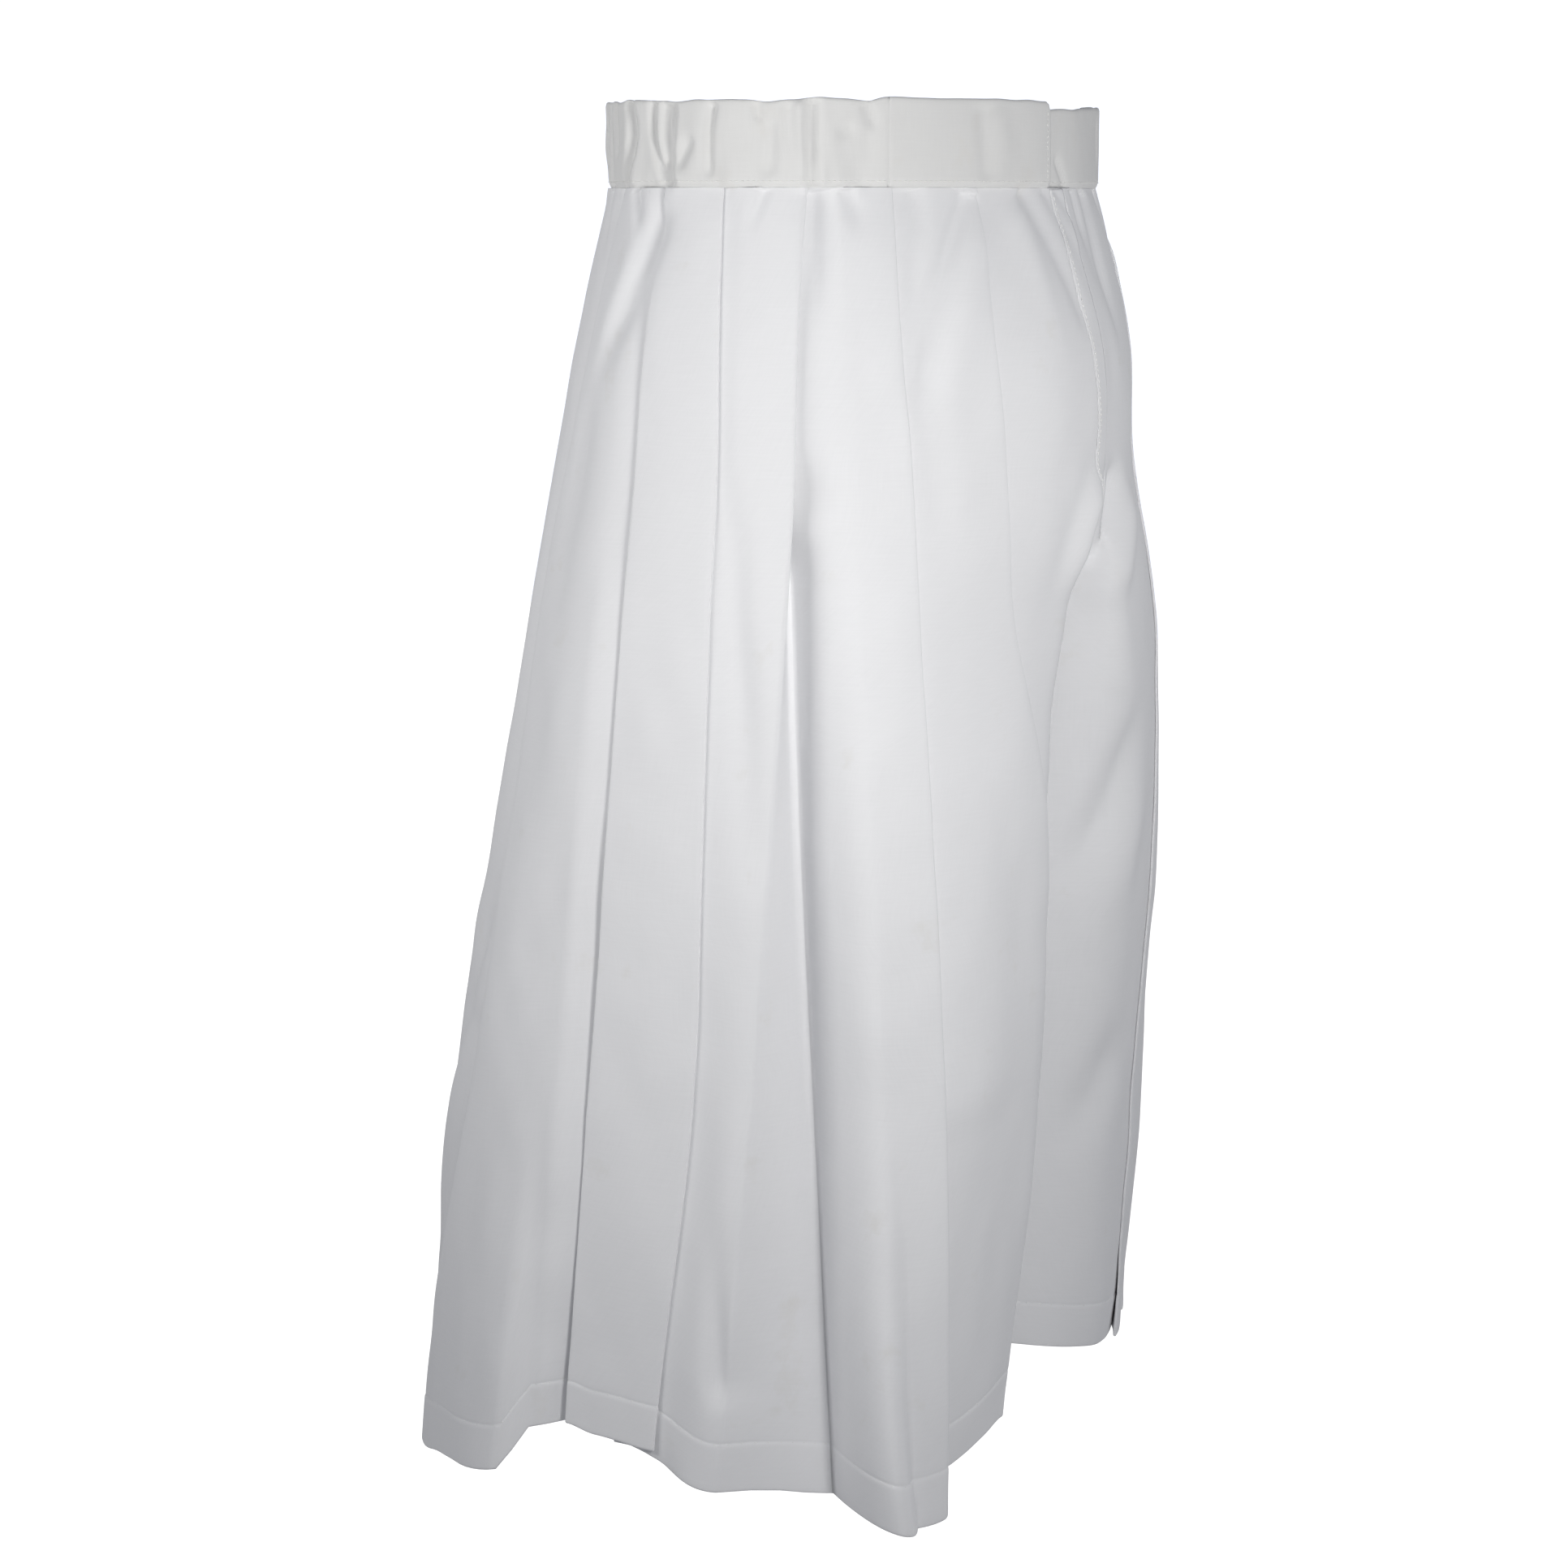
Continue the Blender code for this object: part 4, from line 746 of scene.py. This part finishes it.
def flyPiece(leg):
    # Points of the right front beside its centre edge, found by length along the cloth and moved
    # out; towards the lower end the width follows sqrt(1 - bend^2)
    rows = np.flatnonzero((leg["drop"][-1] <= fly["length"]) & (leg["drop"][-1] >= 0))
    tail = slice(-fine["lastSteps"], None)
    fromEdge = leg["uv"][-1:, rows, 0] - leg["uv"][tail, rows, 0]
    down = leg["drop"][-1, rows]
    bend = np.clip((down - fly["curveStart"]) / (fly["length"] - fly["curveStart"]), 0, 1)
    width = fly["width"] * np.sqrt(np.maximum(1 - bend ** 2, fly["leastWidth"]))
    share = np.linspace(1, 0, fly["steps"])
    grid = np.zeros((fly["steps"], len(rows), 6))
    both = np.concatenate([leg["outer"][tail, rows], leg["normal"][tail, rows]], axis=-1)
    for k in range(len(rows)):   # one row at a time, each as a whole array
        order, at = fromEdge[::-1, k], share * width[k]
        grid[:, k] = np.stack([np.interp(at, order, both[::-1, k, c]) for c in range(6)], axis=-1)
    fromEnd = (len(rows) - np.arange(len(rows))) / fly["softRows"]
    soft = ease((1 - share) * fly["steps"] / fly["softSteps"])[:, None] * ease(fromEnd)[None]
    thick = fly["thick"] * (fly["thinEdge"] + (1 - fly["thinEdge"]) * soft)
    over = grid[..., :3] + grid[..., 3:] * (fly["under"] + thick)[..., None]
    under = grid[..., :3] + grid[..., 3:] * fly["under"]
    uv = np.stack(np.broadcast_arrays(-(share * fly["width"])[:, None], down), axis=-1)
    closedWall("flyEdge", "fly_placket", over, under, uv)
    return over


flyPoints = flyPiece(legs["right"])
print("fly made")

# Stitches: small spindles along a line on the cloth. The hem's only show as short pricks.
thread = {"sides": 6, "rise": 0.00012, "tips": 0.7,
          "top": {"pitch": 0.0029, "length": 0.0021, "radius": 0.00026},
          "hem": {"pitch": 0.0072, "length": 0.0011, "radius": 0.00018}}


def stitchLine(line, normal, kind):
    # Places evenly spaced along the line's length, each with its direction and the cloth's normal
    pitch, length, radius = (thread[kind][key] for key in ("pitch", "length", "radius"))
    steps = np.linalg.norm(np.diff(line, axis=0), axis=-1)
    run = np.concatenate([[0], np.cumsum(steps)])
    at = np.arange(pitch, run[-1] - pitch / 2, pitch)

    def pick(values, s):
        return np.stack([np.interp(s, run, values[:, c]) for c in range(3)], axis=-1)

    out = pick(normal, at)
    out /= np.linalg.norm(out, axis=-1, keepdims=True)
    return {"start": pick(line, at - length / 2), "middle": pick(line, at) + out * thread["rise"],
            "end": pick(line, at + length / 2), "out": out, "radius": np.full(len(at), radius)}


def stitchPiece(name, lines):
    # Each stitch: rings of six points at three places along it, thinner at the ends, and two tips
    every = {key: np.concatenate([line[key] for line in lines]) for key in lines[0]}
    start, middle, end = every["start"], every["middle"], every["end"]
    along = (end - start) / np.linalg.norm(end - start, axis=-1, keepdims=True)
    side = np.cross(along, every["out"])
    side /= np.linalg.norm(side, axis=-1, keepdims=True)
    up = np.cross(side, along)
    n, tips = thread["sides"], thread["tips"]
    turn = np.arange(n) * 2 * math.pi / n
    around = side[:, None] * np.cos(turn)[None, :, None] + up[:, None] * np.sin(turn)[None, :, None]
    rings = ((start * tips + middle * (1 - tips), tips), (middle, 1.0),
             (end * tips + middle * (1 - tips), tips))
    body = [centre[:, None] + around * (every["radius"] * size)[:, None, None] for centre, size in rings]
    points = np.concatenate([start[:, None], *body, end[:, None]], axis=1)
    k = np.arange(n)
    after = (k + 1) % n
    quads = np.concatenate([np.stack([1 + r * n + k, 1 + r * n + after, 1 + (r + 1) * n + after,
                                      1 + (r + 1) * n + k], axis=-1) for r in (0, 1)])
    caps = np.concatenate([np.stack([0 * k, 1 + after, 1 + k], axis=-1),
                           np.stack([0 * k + 1 + 3 * n, 1 + 2 * n + k, 1 + 2 * n + after], axis=-1)])
    shift = np.arange(len(points))[:, None, None] * points.shape[1]
    faces = (quads[None] + shift).reshape(-1, 4).tolist() + (caps[None] + shift).reshape(-1, 3).tolist()
    meshPiece(name, points, faces)
    print(name, len(points), "stitches")


def bandLine(face, inside):
    # A line on the band's face with its level directions away from the line behind it
    outward = face - inside
    outward[:, 2] = 0
    return face, outward


behind = -band["roundRows"] - band["insideRows"] // 2
bandLines = [bandLine(points[:, 1], points[:, behind]) for points in (rightBand, leftBand, backBand)]
bandLines.append(bandLine(rightBand[-3, 1: band["faceRows"] - 1], rightBand[-3, behind]))
stitchPiece("waistbandStitches", [stitchLine(*line, "top") for line in bandLines])
flyLine = flyPoints[2, 2:-2], gridNormals(flyPoints)[2, 2:-2]
stitchPiece("flyStitches", [stitchLine(*flyLine, "top")])
hemRow = int(np.argmin(np.abs(legRows()[0] - hemTop)))
for side, leg in legs.items():
    hemLine = leg["outer"][2:-2, hemRow], leg["normal"][2:-2, hemRow]
    stitchPiece("hemStitches" + side.capitalize(), [stitchLine(*hemLine, "hem")])

# Materials


def node(tree, kind, **values):
    # in_ values go to the input of that name, as a link where they are another node's output
    made = tree.nodes.new(kind)
    for key, value in values.items():
        if not key.startswith("in_"):
            setattr(made, key, value)
            continue
        socket = made.inputs[key[3:].replace("_", " ")]
        if isinstance(value, bpy.types.NodeSocket):
            tree.links.new(value, socket)
        else:
            socket.default_value = value
    return made


def mathNode(tree, operation, a, b=None, clamp=False):
    made = node(tree, "ShaderNodeMath", operation=operation, use_clamp=clamp)
    for k, value in enumerate((a, b)):
        if isinstance(value, bpy.types.NodeSocket):
            tree.links.new(value, made.inputs[k])
        elif value is not None:
            made.inputs[k].default_value = value
    return made.outputs[0]


def mixColour(tree, factor, first, second):
    made = node(tree, "ShaderNodeMix", data_type="RGBA", in_Factor=factor, in_A=first, in_B=second)
    return made.outputs["Result"]


def newGroup(name, inputs, outputs):
    group = bpy.data.node_groups.new(name, "ShaderNodeTree")
    for label, kind, value in inputs:
        made = group.interface.new_socket(label, in_out="INPUT", socket_type=kind)
        if value is not None:
            made.default_value = value
    for label, kind in outputs:
        group.interface.new_socket(label, in_out="OUTPUT", socket_type=kind)
    return group, group.nodes.new("NodeGroupInput"), group.nodes.new("NodeGroupOutput")


weaving = {"threads": 2200.0, "depth": 0.25, "slubScales": ((900, 60, 1), (60, 900, 1)), "slubDetail": 2.0}


def weaveGroup():
    # Plain weave: sin(warp) * sin(weft) on the cloth's own map in metres, with slubs, which are
    # noise drawn out along the threads both ways
    group, given, result = newGroup(
        "plainWeave",
        [("Cloth Map", "NodeSocketVector", None), ("Threads", "NodeSocketFloat", weaving["threads"]),
         ("Slubs", "NodeSocketFloat", 1.0)],
        [("Height", "NodeSocketFloat"), ("Shade", "NodeSocketFloat")])
    clothMap = given.outputs["Cloth Map"]
    split = node(group, "ShaderNodeSeparateXYZ", in_Vector=clothMap)
    turns = mathNode(group, "MULTIPLY", given.outputs["Threads"], math.pi)
    angles = [mathNode(group, "MULTIPLY", split.outputs[k], turns) for k in (0, 1)]
    weave = mathNode(group, "MULTIPLY", *(mathNode(group, "SINE", angle) for angle in angles))
    slubs = []
    for scale in weaving["slubScales"]:
        mapping = node(group, "ShaderNodeMapping", in_Vector=clothMap, in_Scale=scale)
        noise = node(group, "ShaderNodeTexNoise", in_Vector=mapping.outputs[0], in_Scale=1.0,
                     in_Detail=weaving["slubDetail"])
        slubs.append(mathNode(group, "SUBTRACT", noise.outputs[0], 0.5))
    both = mathNode(group, "MULTIPLY", mathNode(group, "ADD", *slubs), given.outputs["Slubs"])
    height = mathNode(group, "ADD", mathNode(group, "MULTIPLY", weave, weaving["depth"]), both)
    group.links.new(height, result.inputs["Height"])
    group.links.new(both, result.inputs["Shade"])
    return group


staining = {"scale": 30.0, "least": 0.6, "detail": 4.0, "roughness": 0.6, "edge": 6.0, "strength": 0.35}


def stainGroup():
    # Faint yellowing and grey marks: wide noise kept above a threshold, on object coordinates
    group, given, result = newGroup(
        "faintStains", [("Place", "NodeSocketVector", None), ("Scale", "NodeSocketFloat", staining["scale"]),
                        ("Least", "NodeSocketFloat", staining["least"])],
        [("Mask", "NodeSocketFloat")])
    noise = node(group, "ShaderNodeTexNoise", in_Vector=given.outputs["Place"],
                 in_Scale=given.outputs["Scale"], in_Detail=staining["detail"],
                 in_Roughness=staining["roughness"])
    over = mathNode(group, "SUBTRACT", noise.outputs[0], given.outputs["Least"])
    group.links.new(mathNode(group, "MULTIPLY", over, staining["edge"], clamp=True), result.inputs["Mask"])
    return group


weave, stains = weaveGroup(), stainGroup()
# hem: how much lighter the turned hem is, which is double cloth
finishes = {
    "legCotton": {"base": (0.85, 0.852, 0.866), "shade": (0.76, 0.762, 0.776), "stain": (0.70, 0.68, 0.62),
                  "threads": 2200.0, "bump": 0.10, "stainLeast": 0.64, "hem": 0.20},
    "bandCotton": {"base": (0.775, 0.775, 0.768), "shade": (0.70, 0.698, 0.688), "stain": (0.72, 0.69, 0.64),
                   "threads": 2000.0, "bump": 0.14, "stainLeast": 0.60, "hem": 0.0},
    "sewingThread": {"base": (0.84, 0.84, 0.82), "shade": (0.76, 0.76, 0.74), "stain": (0.76, 0.74, 0.70),
                     "threads": 2200.0, "bump": 0.0, "stainLeast": 0.9, "hem": 0.0}}
gloss = {"Roughness": 0.88, "Specular IOR Level": 0.25, "Sheen Weight": 0.12, "Sheen Roughness": 0.5}
mottling = {"scale": 9.0, "detail": 3.0, "slubShare": 0.35, "mottleShare": 0.45, "bumpDistance": 0.0002,
            "hemEdge": 800.0, "hemColour": (0.90, 0.90, 0.91, 1)}


def cottonMaterial(name):
    # Base colour towards shade by slubs and mottling, then stains, and the hem's upper edge
    f, m = finishes[name], mottling
    material = bpy.data.materials.new(name)
    material.use_nodes = True
    tree = material.node_tree
    shader = tree.nodes["Principled BSDF"]
    for key, value in gloss.items():
        shader.inputs[key].default_value = value
    place = node(tree, "ShaderNodeTexCoord").outputs["Object"]
    clothMap = node(tree, "ShaderNodeUVMap", uv_map="cloth").outputs[0]
    woven = node(tree, "ShaderNodeGroup", node_tree=weave, in_Threads=f["threads"],
                 in_Cloth_Map=place if name == "sewingThread" else clothMap)
    mottle = node(tree, "ShaderNodeTexNoise", in_Vector=place, in_Scale=m["scale"], in_Detail=m["detail"])
    amount = mathNode(tree, "ADD", mathNode(tree, "MULTIPLY", woven.outputs["Shade"], m["slubShare"]),
                      mathNode(tree, "MULTIPLY", mottle.outputs[0], m["mottleShare"]), clamp=True)
    colour = mixColour(tree, amount, (*f["base"], 1), (*f["shade"], 1))
    stained = node(tree, "ShaderNodeGroup", node_tree=stains, in_Least=f["stainLeast"], in_Place=place)
    marked = mathNode(tree, "MULTIPLY", stained.outputs["Mask"], staining["strength"])
    colour = mixColour(tree, marked, colour, (*f["stain"], 1))
    if f["hem"]:
        split = node(tree, "ShaderNodeSeparateXYZ", in_Vector=clothMap)
        over = mathNode(tree, "SUBTRACT", split.outputs[1], hemTop)
        inHem = mathNode(tree, "MULTIPLY", over, m["hemEdge"], clamp=True)
        colour = mixColour(tree, mathNode(tree, "MULTIPLY", inHem, f["hem"]), colour, m["hemColour"])
    tree.links.new(colour, shader.inputs["Base Color"])
    if f["bump"]:
        bump = node(tree, "ShaderNodeBump", in_Strength=f["bump"], in_Distance=m["bumpDistance"],
                    in_Height=woven.outputs["Height"])
        tree.links.new(bump.outputs[0], shader.inputs["Normal"])
    return material


materials = {name: cottonMaterial(name) for name in finishes}
for name, piece in pieces.items():
    kind = "bandCotton" if name.startswith("waistband") else "legCotton"
    piece.data.materials.append(materials["sewingThread" if "Stitches" in name else kind])
print("materials made")

# Floor, backdrop and light
studio = {"floorZ": -1.15, "floorSize": 14.0, "floorColour": (0.8, 0.8, 0.8, 1),
          "skyColour": (0.88, 0.91, 1.0, 1), "background": 1.20, "fill": 0.23}


def stagePiece(name, points, faces, material):
    mesh = bpy.data.meshes.new(name)
    mesh.from_pydata(points, [], faces)
    mesh.materials.append(material)
    piece = bpy.data.objects.new(name, mesh)
    bpy.context.scene.collection.objects.link(piece)
    return piece


def paleFloor():
    # White floor: the camera sees an even white, everything else a plain matt white
    material = bpy.data.materials.new("paleFloor")
    material.use_nodes = True
    tree = material.node_tree
    tree.nodes.clear()
    matt = node(tree, "ShaderNodeBsdfDiffuse", in_Color=studio["floorColour"])
    even = node(tree, "ShaderNodeEmission", in_Color=(1, 1, 1, 1), in_Strength=studio["background"])
    path = node(tree, "ShaderNodeLightPath")
    mix = node(tree, "ShaderNodeMixShader")
    for k, source in enumerate((path.outputs["Is Camera Ray"], matt.outputs[0], even.outputs[0])):
        tree.links.new(source, mix.inputs[k])
    node(tree, "ShaderNodeOutputMaterial", in_Surface=mix.outputs[0])
    h, z = studio["floorSize"] / 2, studio["floorZ"]
    stagePiece("studioFloor", [(-h, -h, z), (h, -h, z), (h, h, z), (-h, h, z)], [(0, 1, 2, 3)], material)


def paleWorld():
    # A faint bluish light from all round, and an even white behind the object for the camera
    world = bpy.data.worlds.new("paleWorld")
    bpy.context.scene.world = world
    world.use_nodes = True
    tree = world.node_tree
    shade = tree.nodes["Background"]
    shade.inputs["Color"].default_value = studio["skyColour"]
    path = node(tree, "ShaderNodeLightPath")
    strength = mathNode(tree, "ADD", mathNode(tree, "MULTIPLY", path.outputs["Is Camera Ray"],
                                              studio["background"] - studio["fill"]), studio["fill"])
    tree.links.new(strength, shade.inputs["Strength"])


# Lights: azimuth and height of each, its distance from the waist, size, power and colour
lights = {
    "frontKey": {"azimuth": -44, "height": -0.13, "distance": 0.84, "aim": -0.15, "size": 0.20, "power": 3.35,
                 "colour": (1.0, 0.990, 0.965)},
    "leftKey": {"azimuth": -120, "height": -0.04, "distance": 0.86, "aim": -0.08, "size": 0.45, "power": 2.75,
                "colour": (1.0, 0.990, 0.965)},
    "rightFill": {"azimuth": 50, "height": -0.15, "distance": 1.1, "aim": -0.2, "size": 0.50, "power": 1.7,
                  "colour": (1.0, 1.0, 1.0)},
    "backFill": {"azimuth": 120, "height": 0.8, "distance": 2.2, "aim": -0.3, "size": 1.4, "power": 16.0,
                 "colour": (1.0, 1.0, 1.0)}}


def studioLight(name, l):
    turn = math.radians(l["azimuth"])
    data = bpy.data.lights.new(name, "AREA")
    data.shape, data.size, data.energy, data.color = "SQUARE", l["size"], l["power"], l["colour"]
    light = bpy.data.objects.new(name, data)
    bpy.context.scene.collection.objects.link(light)
    light.location = (math.sin(turn) * l["distance"], -math.cos(turn) * l["distance"], l["height"])
    light.rotation_euler = (Vector((0, 0, l["aim"])) - light.location).to_track_quat("-Z", "Y").to_euler()


paleFloor()
paleWorld()
for name, values in lights.items():
    studioLight(name, values)
bpy.context.scene.view_settings.view_transform = "Standard"
print("studio ready")
